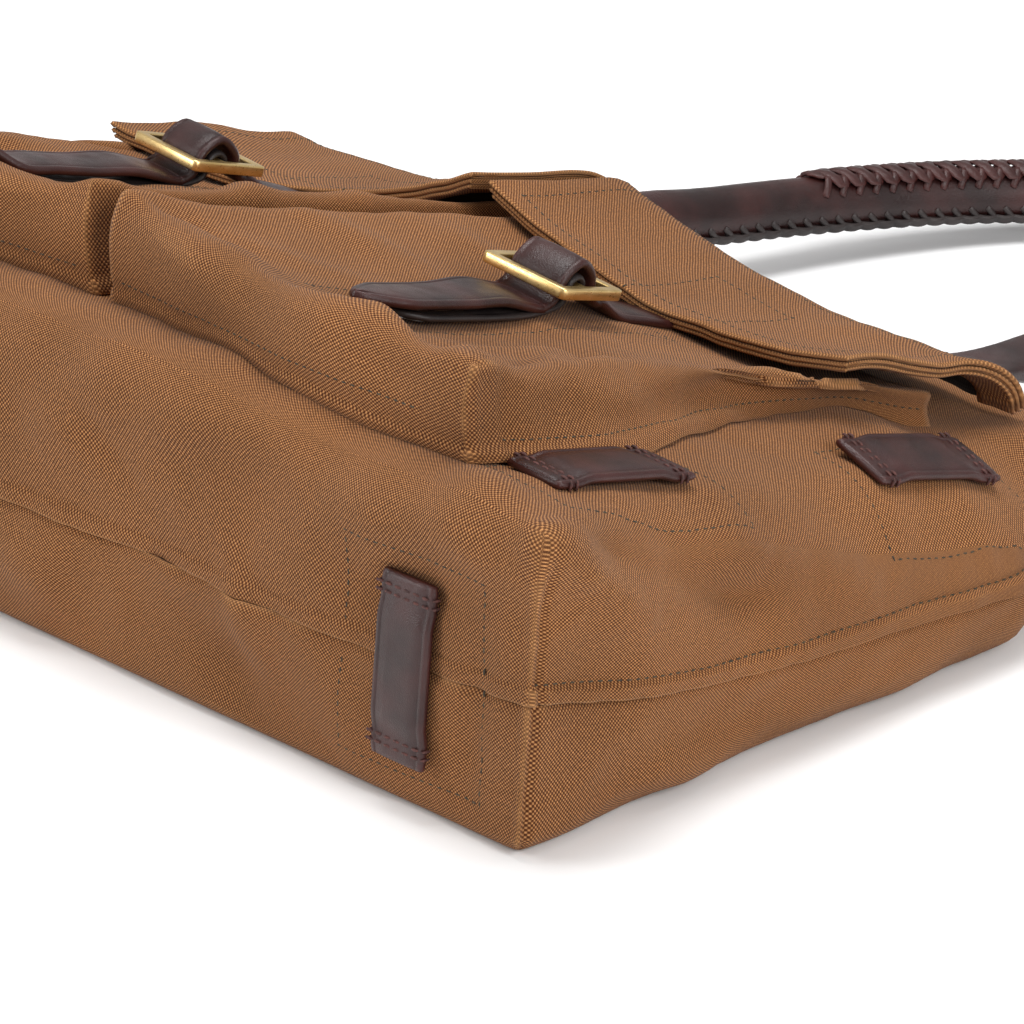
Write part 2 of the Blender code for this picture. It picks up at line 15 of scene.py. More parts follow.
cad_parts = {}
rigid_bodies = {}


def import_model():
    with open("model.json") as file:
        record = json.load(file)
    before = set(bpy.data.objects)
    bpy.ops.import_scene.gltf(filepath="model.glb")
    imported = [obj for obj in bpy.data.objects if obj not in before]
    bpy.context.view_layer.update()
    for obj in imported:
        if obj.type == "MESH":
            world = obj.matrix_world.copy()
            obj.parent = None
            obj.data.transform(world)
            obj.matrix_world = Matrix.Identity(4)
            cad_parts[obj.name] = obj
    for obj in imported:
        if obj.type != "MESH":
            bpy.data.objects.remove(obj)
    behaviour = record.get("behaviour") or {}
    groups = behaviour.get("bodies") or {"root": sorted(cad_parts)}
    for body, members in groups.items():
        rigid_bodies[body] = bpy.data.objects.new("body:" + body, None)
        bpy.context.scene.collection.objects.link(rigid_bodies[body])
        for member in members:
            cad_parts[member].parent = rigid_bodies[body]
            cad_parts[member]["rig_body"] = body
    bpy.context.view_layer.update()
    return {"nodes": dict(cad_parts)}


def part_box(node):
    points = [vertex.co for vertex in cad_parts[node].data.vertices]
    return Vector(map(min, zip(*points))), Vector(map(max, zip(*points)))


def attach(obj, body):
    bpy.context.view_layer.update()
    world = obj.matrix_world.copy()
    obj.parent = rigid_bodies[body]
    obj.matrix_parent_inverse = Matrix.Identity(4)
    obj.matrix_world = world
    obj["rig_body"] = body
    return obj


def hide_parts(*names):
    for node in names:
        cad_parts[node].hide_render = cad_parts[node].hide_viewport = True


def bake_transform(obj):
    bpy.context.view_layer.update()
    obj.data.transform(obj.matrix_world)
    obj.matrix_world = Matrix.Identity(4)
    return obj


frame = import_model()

BAG_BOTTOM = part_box("back_panel")[0].y  # where the bag's Y starts, in metres
MM = 0.001

# Body
LENGTH = 300.0
DEPTH = 109.0
FRONT_SLOPE = 0.2
SLUMP = 5.0
SLUMP_WIDTH = 164.0
SHOULDER = 0.0058  # how fast the front falls away past the pockets, higher up the bag
CANVAS = 1.9
HALF_WIDTHS = ((0, 219), (60, 222), (215, 219), (300, 197))
SEAM_HEIGHTS = ((0, 49), (30, 42), (70, 34), (104, 30), (135, 28), (215, 21.6), (268, 31), (300, 32))
BOTTOM_SEAM = 43.0  # the bottom seam's height in the middle
CORNER_LEAN = 8.0
MOUTH_LIFT = 20.0
HOLLOW = ((150, 30), (200, 25), (240, 25), (285, MOUTH_LIFT))
EDGE_ROUND = 24.0
SIDE_ROUND = 26.0
CORNER_ROUND = 3.0
FELL = 4.6  # width of the felled seam along the side

# Pockets and flaps. Across is measured outwards from a pocket's middle.
POCKET_X = 84.0
POCKET_HALF = 76.0
POCKET_MOUTH = 240.0
POCKET_INNER = ((24, 38), (60, 34), (120, 32), (191, 27), (240, 28))
POCKET_MIDDLE = (
    (24, 34), (36, 28), (50, 20), (70, 17),
    (100, 16), (130, 16.5), (175, 11), (200, 6.5), (240, 10),
)
POCKET_OUTER = ((24, 32), (50, 28.5), (80, 24), (126, 22.5), (170, 17), (190, 13), (240, 13))
POCKET_BASE_Y = ((-76, 36), (-35, 30), (20, 21), (60, 22.5), (76, 23.5))
POCKET_FLARE = ((24, 0), (52, 9), (88, 14), (130, 2), (166, -7), (203, -9), (240, -1))
POCKET_SPREAD = ((24, 14), (50, 11), (90, 4), (130, 0))  # extra width of a pocket's outer half
POCKET_ROUND = 9.0
FLAP_HALF = 80.0
FLAP_EDGE = 191.0
FLAP_FOOT = 267.0
FOOT_HEIGHT = 3.0

# Leather
STRAP = 22.0
LEATHER = 3.0
BAR_Y = 143.0
BAR_HEIGHT = 26.4
TAIL_TIP = 54.0
SNAP_Y = 84.0
LOOP_LENGTH = 55.0
LOOP_X = 191.0
LOOP_YS = {"lower": 58.0, "upper": 196.0}
BOTTOM_LOOP = (174.0, 50.0)
HANDLE_HALF = 104.0
HANDLE_ROOT = 305.5
HANDLE_REACH = 268.0
HANDLE_RADIUS = 10.8
BACK_REACH = -240.0
BACK_ROOT = 300.0


# Stitches: length, gap and radius
CANVAS_STITCH = (2.3, 1.1, 0.36)
SEAM_STITCH = (2.4, 1.1, 0.38)


# Number helpers


def clamp(value, low, high):
    return max(low, min(high, value))


def ease(value, low, high):
    t = clamp((value - low) / (high - low), 0, 1)
    return t * t * (3 - 2 * t)


def along(stations, value):
    """Reads a value from a list of (place, value) stations, straight between them."""
    for (low, a), (high, b) in zip(stations, stations[1:]):
        if value <= high:
            return a + (b - a) * clamp((value - low) / (high - low), 0, 1)
    return stations[-1][1]


def flowing(stations, value):
    """Like along, but smooth at the stations."""
    spread = 9.0
    return sum(along(stations, value + step * spread) for step in (-1, -0.5, 0, 0.5, 1)) / 5


def smooth_path(points, steps):
    ends = [2 * points[0] - points[1], *points, 2 * points[-1] - points[-2]]
    path = []
    for a, b, c, d in zip(ends, ends[1:], ends[2:], ends[3:]):
        for step in range(steps):
            t = step / steps
            straight = 2 * b + (c - a) * t
            curved = (2 * a - 5 * b + 4 * c - d) * t**2 + (3 * b - a - 3 * c + d) * t**3
            path.append((straight + curved) / 2)
    return path + [points[-1]]


def round_edge(p, q, r):
    """Rounds the edge between two faces. p and q are depths below the one and the other."""
    if p >= r or q >= r:
        return p, q
    a, b = (r - p) / r, (r - q) / r
    scale = max(a, b) / hypot(a, b)
    return r - a * scale * r, r - b * scale * r


def bump(distance, width):
    """1 at a line and 0 beyond its width."""
    return 1 - ease(abs(distance), 0, width)


def world(point):
    return Vector((point[0] * MM, BAG_BOTTOM + point[1] * MM, point[2] * MM))


def bag(point):
    """The bag's millimetres of a point in the frame."""
    return Vector((point[0] / MM, (point[1] - BAG_BOTTOM) / MM, point[2] / MM))


# Mesh tools


def add_grid(bm, us, vs, point, cloth=None):
    """Adds a grid whose points are point(u, v). cloth(u, v) gives the weave's coordinates."""
    layer = bm.loops.layers.uv.verify()
    rows = [[bm.verts.new(world(point(u, v))) for v in vs] for u in us]
    for i in range(len(us) - 1):
        for j in range(len(vs) - 1):
            corners = ((i, j), (i + 1, j), (i + 1, j + 1), (i, j + 1))
            face = bm.faces.new([rows[a][b] for a, b in corners])
            if cloth is not None:
                for loop, (a, b) in zip(face.loops, corners):
                    loop[layer].uv = cloth(us[a], vs[b])
    return rows


def steps(low, high, count):
    return [low + (high - low) * i / count for i in range(count + 1)]


def close_to(low, high, count, fine):
    """Steps that lie closer together near low, by the factor fine."""
    return [low + (high - low) * ((i / count) ** fine) for i in range(count + 1)]


def to_object(name, bm, material, smooth=True, centre=None, up=None):
    """Makes the object of a bmesh, facing away from centre or, if given, towards up."""
    bmesh.ops.remove_doubles(bm, verts=bm.verts, dist=0.00002)
    bmesh.ops.recalc_face_normals(bm, faces=bm.faces)
    if centre is not None or up is not None:
        start = None if centre is None else world(centre)
        facing = 0.0
        for face in bm.faces:
            way = up if start is None else face.calc_center_median() - start
            facing += way.dot(face.normal) * face.calc_area()
        if facing < 0:
            bmesh.ops.reverse_faces(bm, faces=bm.faces)
    mesh = bpy.data.meshes.new(name)
    bm.to_mesh(mesh)
    bm.free()
    made = bpy.data.objects.new(name, mesh)
    bpy.context.scene.collection.objects.link(made)
    mesh.materials.append(material)
    if smooth:
        mesh.shade_smooth()
    return made


def displace(made, amount):
    """Moves each point along its normal by amount(point, normal), in millimetres."""
    mesh = made.data
    moved = []
    for vertex in mesh.vertices:
        place = bag(vertex.co)
        moved.append(vertex.co + vertex.normal * (amount(place, vertex.normal) * MM))
    for vertex, place in zip(mesh.vertices, moved):
        vertex.co = place
    mesh.update()


def relax(made, chosen, rounds):
    """Smooths the points that chosen(place) picks."""
    bm = bmesh.new()
    bm.from_mesh(made.data)
    points = [v for v in bm.verts if chosen(bag(v.co))]
    axes = {"use_axis_x": True, "use_axis_y": True, "use_axis_z": True}
    for _ in range(rounds):
        bmesh.ops.smooth_vert(bm, verts=points, factor=0.5, **axes)
    bm.to_mesh(made.data)
    bm.free()


def freeze(made):
    """Turns the modifiers' result into the object's own mesh."""
    depsgraph = bpy.context.evaluated_depsgraph_get()
    mesh = bpy.data.meshes.new_from_object(made.evaluated_get(depsgraph))
    made.modifiers.clear()
    old = made.data
    made.data = mesh
    mesh.name = made.name
    bpy.data.meshes.remove(old)
    return made


def thicken(made, thickness, offset=-1, fine=0):
    solid = made.modifiers.new("Thickness", "SOLIDIFY")
    solid.thickness = thickness * MM
    solid.offset = offset
    if fine:
        smooth = made.modifiers.new("Smooth", "SUBSURF")
        smooth.levels = fine
        smooth.render_levels = fine
    return freeze(made)


def tree_of(made):
    return BVHTree.FromPolygons(
        [v.co for v in made.data.vertices], [p.vertices for p in made.data.polygons]
    )


def drop(tree, point, way, reach=40):
    """Where a ray towards way from reach before the point meets the tree, and its normal."""
    way = Vector(way).normalized()
    start = world(point) - way * (reach * MM)
    place, normal, _, _ = tree.ray_cast(start, way, 3 * reach * MM)
    if place is None:
        return Vector(point), -way
    if normal.dot(way) > 0:
        normal = -normal
    return bag(place), normal


def sweep(bm, centres, sides, ups, section, caps=True, loop=False):
    """Sweeps a closed section along centres. section(i) gives (aside, above) points."""
    rings = []
    for i, (centre, side, up) in enumerate(zip(centres, sides, ups)):
        rings.append([bm.verts.new(world(centre + side * a + up * b)) for a, b in section(i)])
    pairs = list(zip(rings, rings[1:]))
    if loop:
        pairs.append((rings[-1], rings[0]))
    for low, high in pairs:
        for k in range(len(low)):
            n = (k + 1) % len(low)
            bm.faces.new((low[k], low[n], high[n], high[k]))
    if caps and not loop:
        bm.faces.new(rings[0][::-1])
        bm.faces.new(rings[-1])


def frames_of(centres, side):
    """The sides and ups of a path that keeps one level side direction."""
    ups = []
    last = len(centres) - 1
    for i in range(last + 1):
        ahead = centres[min(i + 1, last)] - centres[max(i - 1, 0)]
        ups.append(side.cross(ahead).normalized())
    return [side] * (last + 1), ups


def round_section(wide, high, count=12):
    return [
        (wide * cos(2 * pi * k / count), high * sin(2 * pi * k / count)) for k in range(count)
    ]


def strap_section(half, thick):
    """A strap's section: worn round edges, a pressed line beside each, and a slight crown."""
    top = thick / 2
    right = [
        (half - 0.35, top * 0.55),
        (half - 0.9, top * 0.95),
        (half - 2.0, top),
        (half - 2.5, top - 0.32),
        (half - 3.0, top + 0.02),
        (half * 0.4, top + 0.2),
    ]
    upper = [(half, 0.0)] + right + [(0, top + 0.24)]
    upper += [(-a, b) for a, b in reversed(right)] + [(-half, 0.0)]
    under = [(-half + 0.4, -top * 0.6), (-half + 1.2, -top), (0, -top)]
    under += [(half - 1.2, -top), (half - 0.4, -top * 0.6)]
    return upper + under


def add_stitches(bm, path, length=2.6, gap=1.5, radius=0.42, sink=0.1):
    """Adds a row of stitches along a path of (point, normal) pairs."""
    travelled = 0.0
    pitch = length + gap
    for (a, na), (b, nb) in zip(path, path[1:]):
        stretch = (b - a).length
        if stretch < 1e-6:
            continue
        at = -travelled % pitch
        while at < stretch:
            t = at / stretch
            centre = a.lerp(b, t)
            normal = na.lerp(nb, t).normalized()
            add_stitch(bm, centre - normal * sink, (b - a).normalized(), normal, length, radius)
            at += pitch
        travelled += stretch


def add_stitch(bm, centre, ahead, normal, length, radius):
    side = ahead.cross(normal).normalized()
    rings = []
    for t, size in ((-0.5, 0.25), (-0.34, 0.85), (0, 1.0), (0.34, 0.85), (0.5, 0.25)):
        place = centre + ahead * (t * length) - normal * (radius * 1.1 * (2 * t) ** 4)
        ring = []
        for k in range(6):
            turn = pi * k / 3
            spot = place + side * (radius * size * cos(turn)) + normal * (radius * size * sin(turn))
            ring.append(bm.verts.new(world(spot)))
        rings.append(ring)
    for low, high in zip(rings, rings[1:]):
        for k in range(6):
            n = (k + 1) % 6
            bm.faces.new((low[k], low[n], high[n], high[k]))
    bm.faces.new(rings[0][::-1])
    bm.faces.new(rings[-1])


def on_cloth(tree, points, way):
    return [drop(tree, point, way) for point in points]


def line(start, end, count):
    a, b = Vector(start), Vector(end)
    return [a.lerp(b, i / count) for i in range(count + 1)]


def outline(corners, spacing=4.0):
    """Points round a closed outline through the corners."""
    points = []
    for a, b in zip(corners, corners[1:] + corners[:1]):
        count = max(2, round((Vector(b) - Vector(a)).length / spacing))
        points += line(a, b, count)[:-1]
    return points + [Vector(corners[0])]


# Materials


def nodes_of(name, roughness, metallic=0.0):
    made = bpy.data.materials.new(name)
    made.use_nodes = True
    tree = made.node_tree
    shader = tree.nodes["Principled BSDF"]
    shader.inputs["Roughness"].default_value = roughness
    shader.inputs["Metallic"].default_value = metallic
    return made, tree, shader


def node(tree, kind, inputs=None, **settings):
    made = tree.nodes.new("ShaderNode" + kind)
    for name, value in settings.items():
        setattr(made, name, value)
    for name, value in (inputs or {}).items():
        if isinstance(value, bpy.types.NodeSocket):
            tree.links.new(value, made.inputs[name])
        else:
            made.inputs[name].default_value = value
    return made


def maths(tree, operation, a, b=0.0):
    return node(tree, "Math", {0: a, 1: b}, operation=operation).outputs[0]


def scale_to(tree, value, low, high, out_low=0.0, out_high=1.0):
    found = node(
        tree,
        "MapRange",
        {"Value": value, "From Min": low, "From Max": high, "To Min": out_low, "To Max": out_high},
    )
    return found.outputs[0]


def blend_colours(tree, factor, a, b):
    mix = node(tree, "Mix", data_type="RGBA")
    for socket, value in ((mix.inputs[0], factor), (mix.inputs[6], a), (mix.inputs[7], b)):
        if isinstance(value, bpy.types.NodeSocket):
            tree.links.new(value, socket)
        else:
            socket.default_value = value if isinstance(value, float) else (*value, 1)
    return mix.outputs[2]


def noise_at(tree, vector, scale, detail=3.0):
    inputs = {"Vector": vector, "Scale": scale, "Detail": detail}
    return node(tree, "TexNoise", inputs).outputs[0]


def woven(name, dark, light, thread, roughness=0.88, strength=0.55, second_colour=None):
    """Plain-woven cloth. The weave runs along the cloth's own coordinates, in metres."""
    made, tree, shader = nodes_of(name, roughness)
    cloth = node(tree, "UVMap").outputs[0]
    place = node(tree, "TexCoord").outputs["Object"]
    drift = node(tree, "TexNoise", {"Vector": cloth, "Scale": 45.0, "Detail": 2.0}).outputs[1]
    moved = node(tree, "VectorMath", {0: drift, 1: (0.5, 0.5, 0.5)}, operation="SUBTRACT").outputs[0]
    shifted = node(tree, "VectorMath", {0: moved}, operation="SCALE")
    shifted.inputs["Scale"].default_value = thread * 2.2
    coordinates = node(tree, "VectorMath", {0: cloth, 1: shifted.outputs[0]}, operation="ADD").outputs[0]
    split = node(tree, "SeparateXYZ", {0: coordinates})
    waves = []
    for axis in (0, 1):
        turned = maths(tree, "MULTIPLY", split.outputs[axis], pi / thread)
        waves.append(maths(tree, "SINE", turned))
    over = maths(tree, "MULTIPLY", waves[0], waves[1])
    raised = maths(tree, "ABSOLUTE", over)
    warp = scale_to(tree, over, -0.25, 0.75)
    slub = noise_at(tree, cloth, 900.0, 1.0)
    colour = blend_colours(tree, warp, dark, light)
    varied = scale_to(tree, slub, 0.3, 0.7, 0.78, 1.18)
    patches = noise_at(tree, place, 14.0, 4.0)
    broad = scale_to(tree, patches, 0.32, 0.68, 0.86, 1.1)
    both = maths(tree, "MULTIPLY", varied, broad)
    colour = node(tree, "VectorMath", {0: colour, "Scale": both}, operation="SCALE").outputs[0]
    # Pointiness lightens convex ridges and fold crests towards a lighter tan: partly real rubbing wear of
    # the canvas, partly painted highlight along the folds.
    if second_colour is not None:
        point = node(tree, "NewGeometry").outputs["Pointiness"]
        convex_lightening = scale_to(tree, point, 0.525, 0.62, 0.0, 0.4)
        colour = blend_colours(tree, convex_lightening, colour, second_colour)
    tree.links.new(colour, shader.inputs["Base Color"])
    height = maths(tree, "ADD", maths(tree, "MULTIPLY", over, 0.35), raised)
    fuzz = noise_at(tree, cloth, 2600.0, 2.0)
    height = maths(tree, "ADD", height, maths(tree, "MULTIPLY", fuzz, 0.5))
    raise_by = node(tree, "Bump", {"Height": height, "Strength": strength, "Distance": thread * 0.4})
    tree.links.new(raise_by.outputs[0], shader.inputs["Normal"])
    shader.inputs["Sheen Weight"].default_value = 0.06
    shader.inputs["Sheen Roughness"].default_value = 0.5
    shader.inputs["Specular IOR Level"].default_value = 0.12
    return made


def grained(name, dark, light, roughness, scale, strength, coat=0.0):
    """Leather: mottled colour, fine pebbled grain and uneven gloss."""
    made, tree, shader = nodes_of(name, roughness)
    place = node(tree, "TexCoord").outputs["Object"]
    mottle = noise_at(tree, place, 60.0, 4.0)
    colour = blend_colours(tree, scale_to(tree, mottle, 0.35, 0.68), dark, light)
    point = node(tree, "NewGeometry").outputs["Pointiness"]
    convex_lightening = scale_to(tree, point, 0.53, 0.62, 0.0, 0.5)
    colour = blend_colours(tree, convex_lightening, colour, tuple(c * 2.4 for c in light))
    tree.links.new(colour, shader.inputs["Base Color"])
    pebbles = node(tree, "TexVoronoi", {"Vector": place, "Scale": scale}, feature="DISTANCE_TO_EDGE")
    grain = scale_to(tree, pebbles.outputs["Distance"], 0.0, 0.25)
    fine = noise_at(tree, place, scale * 1.7, 3.0)
    height = maths(tree, "ADD", grain, maths(tree, "MULTIPLY", fine, 0.8))
    raise_by = node(tree, "Bump", {"Height": height, "Strength": strength, "Distance": 0.0002})
    tree.links.new(raise_by.outputs[0], shader.inputs["Normal"])
    gloss = scale_to(tree, noise_at(tree, place, 110.0, 3.0), 0.3, 0.7, roughness - 0.08, roughness + 0.12)
    tree.links.new(gloss, shader.inputs["Roughness"])
    shader.inputs["Specular IOR Level"].default_value = 0.4
    shader.inputs["Coat Weight"].default_value = coat
    shader.inputs["Coat Roughness"].default_value = 0.35
    return made


def metal(name, colour, roughness, second_colour):
    made, tree, shader = nodes_of(name, roughness, 1.0)
    place = node(tree, "TexCoord").outputs["Object"]
    cloud = noise_at(tree, place, 120.0, 5.0)
    mixed = blend_colours(tree, scale_to(tree, cloud, 0.35, 0.7), colour, second_colour)
    tree.links.new(mixed, shader.inputs["Base Color"])
    fine = noise_at(tree, place, 1500.0, 3.0)
    satin = scale_to(tree, fine, 0.3, 0.7, roughness - 0.06, roughness + 0.1)
    tree.links.new(satin, shader.inputs["Roughness"])
    raise_by = node(tree, "Bump", {"Height": fine, "Strength": 0.12, "Distance": 0.00008})
    tree.links.new(raise_by.outputs[0], shader.inputs["Normal"])
    return made


def twisted(name, dark, light):
    """Sewing thread or rope, mottled along its twist."""
    made, tree, shader = nodes_of(name, 0.75)
    place = node(tree, "TexCoord").outputs["Object"]
    cloud = noise_at(tree, place, 700.0, 2.0)
    colour = blend_colours(tree, scale_to(tree, cloud, 0.35, 0.65), dark, light)
    tree.links.new(colour, shader.inputs["Base Color"])
    raise_by = node(tree, "Bump", {"Height": cloud, "Strength": 0.4, "Distance": 0.0002})
    tree.links.new(raise_by.outputs[0], shader.inputs["Normal"])
    return made


# The canvas's last colour is the lighter tan put on ridges and fold crests: partly real wear, partly
# painted highlight.
canvas = woven("canvas", (0.07, 0.019, 0.005), (0.47, 0.22, 0.082), 0.00062, second_colour=(0.5, 0.26, 0.11))
lining = woven("lining", (0.01, 0.009, 0.01), (0.035, 0.03, 0.032), 0.0004, 0.9, 0.3)
tape_cloth = woven("zip_cloth", (0.022, 0.012, 0.008), (0.075, 0.045, 0.03), 0.0005, 0.85, 0.5)
leather = grained("leather", (0.014, 0.0032, 0.0028), (0.042, 0.0105, 0.009), 0.36, 1500.0, 0.3, 0.08)
edge_leather = grained("edge_leather", (0.012, 0.009, 0.009), (0.025, 0.018, 0.017), 0.42, 1400.0, 0.25)
thread = twisted("thread", (0.018, 0.014, 0.007), (0.06, 0.042, 0.02))
red_thread = twisted("red_thread", (0.035, 0.011, 0.009), (0.1, 0.032, 0.026))
brass = metal("brass", (0.86, 0.63, 0.29), 0.32, (0.66, 0.45, 0.17))
steel = metal("steel", (0.55, 0.55, 0.55), 0.32, (0.4, 0.4, 0.41))


# The body's canvas


def front_height(x, y):
    shoulder = SHOULDER * ease(y, 20, 200) * max(abs(x) - 168, 0) ** 2
    slump = SLUMP + 5 * bump(y - 240, 42)
    return DEPTH - FRONT_SLOPE * y - slump * (abs(x) / SLUMP_WIDTH) ** 2 - shoulder


def back_height(x, y):
    across = 1 - ease(abs(x), 118, 152)
    hollow = along(HOLLOW, y) * across * ease(y, 8, 42)
    return max(hollow, MOUTH_LIFT * ease(y, 215, 290))


def seam_height(x, y):
    side = flowing(SEAM_HEIGHTS, y)
    bottom = BOTTOM_SEAM + (side - BOTTOM_SEAM) * (abs(x) / 219) ** 4
    return bottom + (side - bottom) * ease(y, 0, 20)


def lean(z, y):
    return CORNER_LEAN * (1 - ease(y, 0, 120)) * z / DEPTH


def body_place(x, y, share, front):
    """A point of the body. share runs from 0 at the seam to 1 at the front or back face."""
    width = along(HALF_WIDTHS, y)
    face = front_height(x, y) if front else back_height(x, y)
    seam = seam_height(x, y)
    rise = abs(face - seam)
    depth = (1 - share) * rise
    edge = width - abs(x)
    if front:
        free = ease(edge, 0, 60)
        radius = CORNER_ROUND + (EDGE_ROUND - CORNER_ROUND) * free
        y_new, depth = round_edge(y, depth, min(radius, rise * 0.8))
        side_radius = CORNER_ROUND + (SIDE_ROUND - CORNER_ROUND) * ease(y, 0, 70) + 8 * ease(y, 60, 180)
        edge, depth = round_edge(edge, depth, min(side_radius, rise * 0.8))
    else:
        y_new, depth = round_edge(y, depth, 5.0)
        edge, depth = round_edge(edge, depth, min(6 + 8 * ease(y, 8, 70), rise * 0.9 + 0.1))
    z = face - depth if front else face + depth
    x_new = (width - edge) * (1 if x >= 0 else -1)
    x_new += lean(z, y) * clamp(x_new / width * 1.2, -1, 1)
    return Vector((x_new, y_new, z))


FOLDING = 2.4  # how much deeper the body's folds are than listed
CREASES = (
    # start, end, width, height: folds of the canvas, raised if positive
    ((227, 2, 97), (226, 40, 66), 8, 2.4),
    ((226, 14, 95), (227, 62, 72), 10, -1.8),
    ((222, 66, 88), (224, 110, 62), 11, 2.6),
    ((222, 50, 84), (222, 92, 50), 14, -2.6),
    ((221, 100, 72), (222, 150, 38), 14, 1.8),
    ((222, 150, 62), (219, 205, 40), 12, -1.6),
    ((216, 20, 30), (216, 75, 6), 12, 1.6),
    ((217, 60, 28), (214, 120, 6), 14, -1.8),
    ((200, 6, 97), (150, 0, 84), 12, 1.6),
    ((120, 0, 98), (70, 0, 72), 22, -1.6),
    ((40, 0, 92), (10, 0, 62), 18, 1.6),
    ((60, 0, 30), (130, 0, 12), 16, -1.5),
    ((-30, 0, 40), (20, 0, 16), 16, 1.5),
    ((205, 0, 60), (196, 0, 12), 7, -1.2),
    ((176, 16, 104), (205, 8, 98), 9, 1.8),
    ((222, 40, 82), (222, 118, 64), 8, 1.6),
    ((222, 64, 60), (220, 150, 48), 9, -1.8),
    ((221, 18, 72), (222, 56, 50), 8, 1.3),
    ((219, 34, 22), (215, 110, 10), 8, -1.2),
    ((196, 0, 74), (152, 0, 60), 10, -1.3),
    ((216, 0, 84), (178, 0, 94), 8, 1.2),
    ((104, 2, 96), (62, 0, 84), 9, 1.2),
    ((92, 0, 62), (112, 0, 18), 9, 1.0),
    ((24, 0, 88), (58, 0, 58), 10, -1.0),
)


def fold_at(place, start, end, width, height):
    """How far a fold from start to end lifts the cloth at a place."""
    way = end - start
    t = clamp((place - start).dot(way) / way.length_squared, 0, 1)
    away = (place - (start + way * t)).length / width
    if away > 2.2:
        return 0.0
    return height * (0.35 + 0.65 * sin(pi * t)) * exp(-1.6 * away * away)


def crease_at(place):
    total = 0.0
    for start, end, width, height in CREASES:
        for mirror in (1, -1):
            a = Vector((start[0] * mirror, start[1], start[2]))
            b = Vector((end[0] * mirror, end[1], end[2]))
            total += fold_at(place, a, b, width, height)
    return total


def cloth_noise(place, seed=0.0):
    """Unevenness of worn cloth: broad waves and small wrinkles."""
    shift = Vector((seed, seed * 0.37, 0))
    broad = noise.noise(place / 62 + shift)
    middle = noise.noise(place / 24 + shift * 2)
    small = noise.noise(Vector((place.x + place.z, place.y - place.z, place.z)) / 9 + shift)
    slanted = Vector((place.x + place.y * 0.5, place.y * 0.55 - place.x * 0.3, place.z * 0.8)) / 75
    ridge = 1 - abs(noise.noise(slanted + shift * 3)) * 2.4
    return 2.2 * broad + 1.7 * middle + 0.5 * small + 1.0 * max(ridge, 0) ** 2


def seam_puckers(distance, run):
    """Small gathers next to a row of stitches."""
    pull = noise.noise(Vector((run / 5.5, distance / 14, 3.3)))
    return 0.55 * pull * exp(-abs(distance) / 9)


def body_displacement(front):
    def amount(place, normal):
        x, y, z = place
        seam = seam_height(x, y)
        total = cloth_noise(place, 0.0 if front else 5.0)
        total += FOLDING * crease_at(place)
        calm = 1 - ease(y, 262, 290)
        total *= 0.35 + 0.65 * calm
        if not front and z < 6:
            total *= ease(z, 0.0, 6.0)
        distance = z - seam
        on_bottom = y < 3 and abs(normal.y) > 0.5
        run = x if on_bottom else y
        total += seam_puckers(distance, run)
        swell = 0.7 if on_bottom else 1.7
        if front:
            total += swell * (1 - ease(distance, FELL - 0.9, FELL + 0.5))
            total -= 0.5 * bump(distance - FELL - 1.2, 1.2)
        else:
            total -= 1.2 * bump(distance, 3.2)
        return total

    return amount


def make_front_canvas():
    bm = bmesh.new()
    ys = close_to(0, 60, 30, 1.35)[:-1] + steps(60, LENGTH, 92)
    fine_xs = sorted(set([-0.992, -0.98, 0.98, 0.992] + steps(-1, 1, 140)))
    shares = [0, 0.012, 0.024, 0.036, 0.05, 0.065, 0.08, 0.1] + steps(0.13, 1, 26)

    def top(u, y):
        return body_place(u * along(HALF_WIDTHS, y), y, 1, True)

    def bottom(u, share):
        return body_place(u * along(HALF_WIDTHS, 0), 0, share, True)

    add_grid(bm, fine_xs, ys, top, lambda u, y: (u * 0.219, y * MM))
    add_grid(bm, fine_xs, shares, bottom, lambda u, s: (u * 0.219, -0.055 * (1 - s)))
    for sign in (-1, 1):

        def side(y, share):
            return body_place(sign * along(HALF_WIDTHS, y), y, share, True)

        add_grid(bm, ys, shares, side, lambda y, s: (sign * (0.219 + 0.06 * (1 - s)), y * MM))
    made = to_object("canvas_front", bm, canvas, centre=(0, 150, 34))
    displace(made, body_displacement(True))
    relax(made, lambda place: place.y < 15 and place.z > 86, 6)
    groove_corners(made)
    thicken(made, CANVAS, -1, 0)
    return made


def groove_corners(made):
    """Presses the canvas in beside the two corner seams, where the side meets the bottom."""
    mesh = made.data
    for vertex in mesh.vertices:
        place = bag(vertex.co)
        z = place.z
        corner_x = 219 + lean(z, 0)
        if place.y < 9 and z < front_height(215, 0) - 1 and abs(place.x) > corner_x - 9:
            beside = place.y
            fade = ease(front_height(215, 0) - z, 2, 16)
            inward = 1.8 * bump(beside - 2.4, 1.9) * fade
            place.x -= inward * (1 if place.x > 0 else -1) * (abs(vertex.normal.x) > 0.5)
            away = corner_x - abs(place.x)
            if beside < 1.0:
                place.y -= 0.8 * bump(away, 4.0) * fade
            vertex.co = world(place)
    mesh.update()


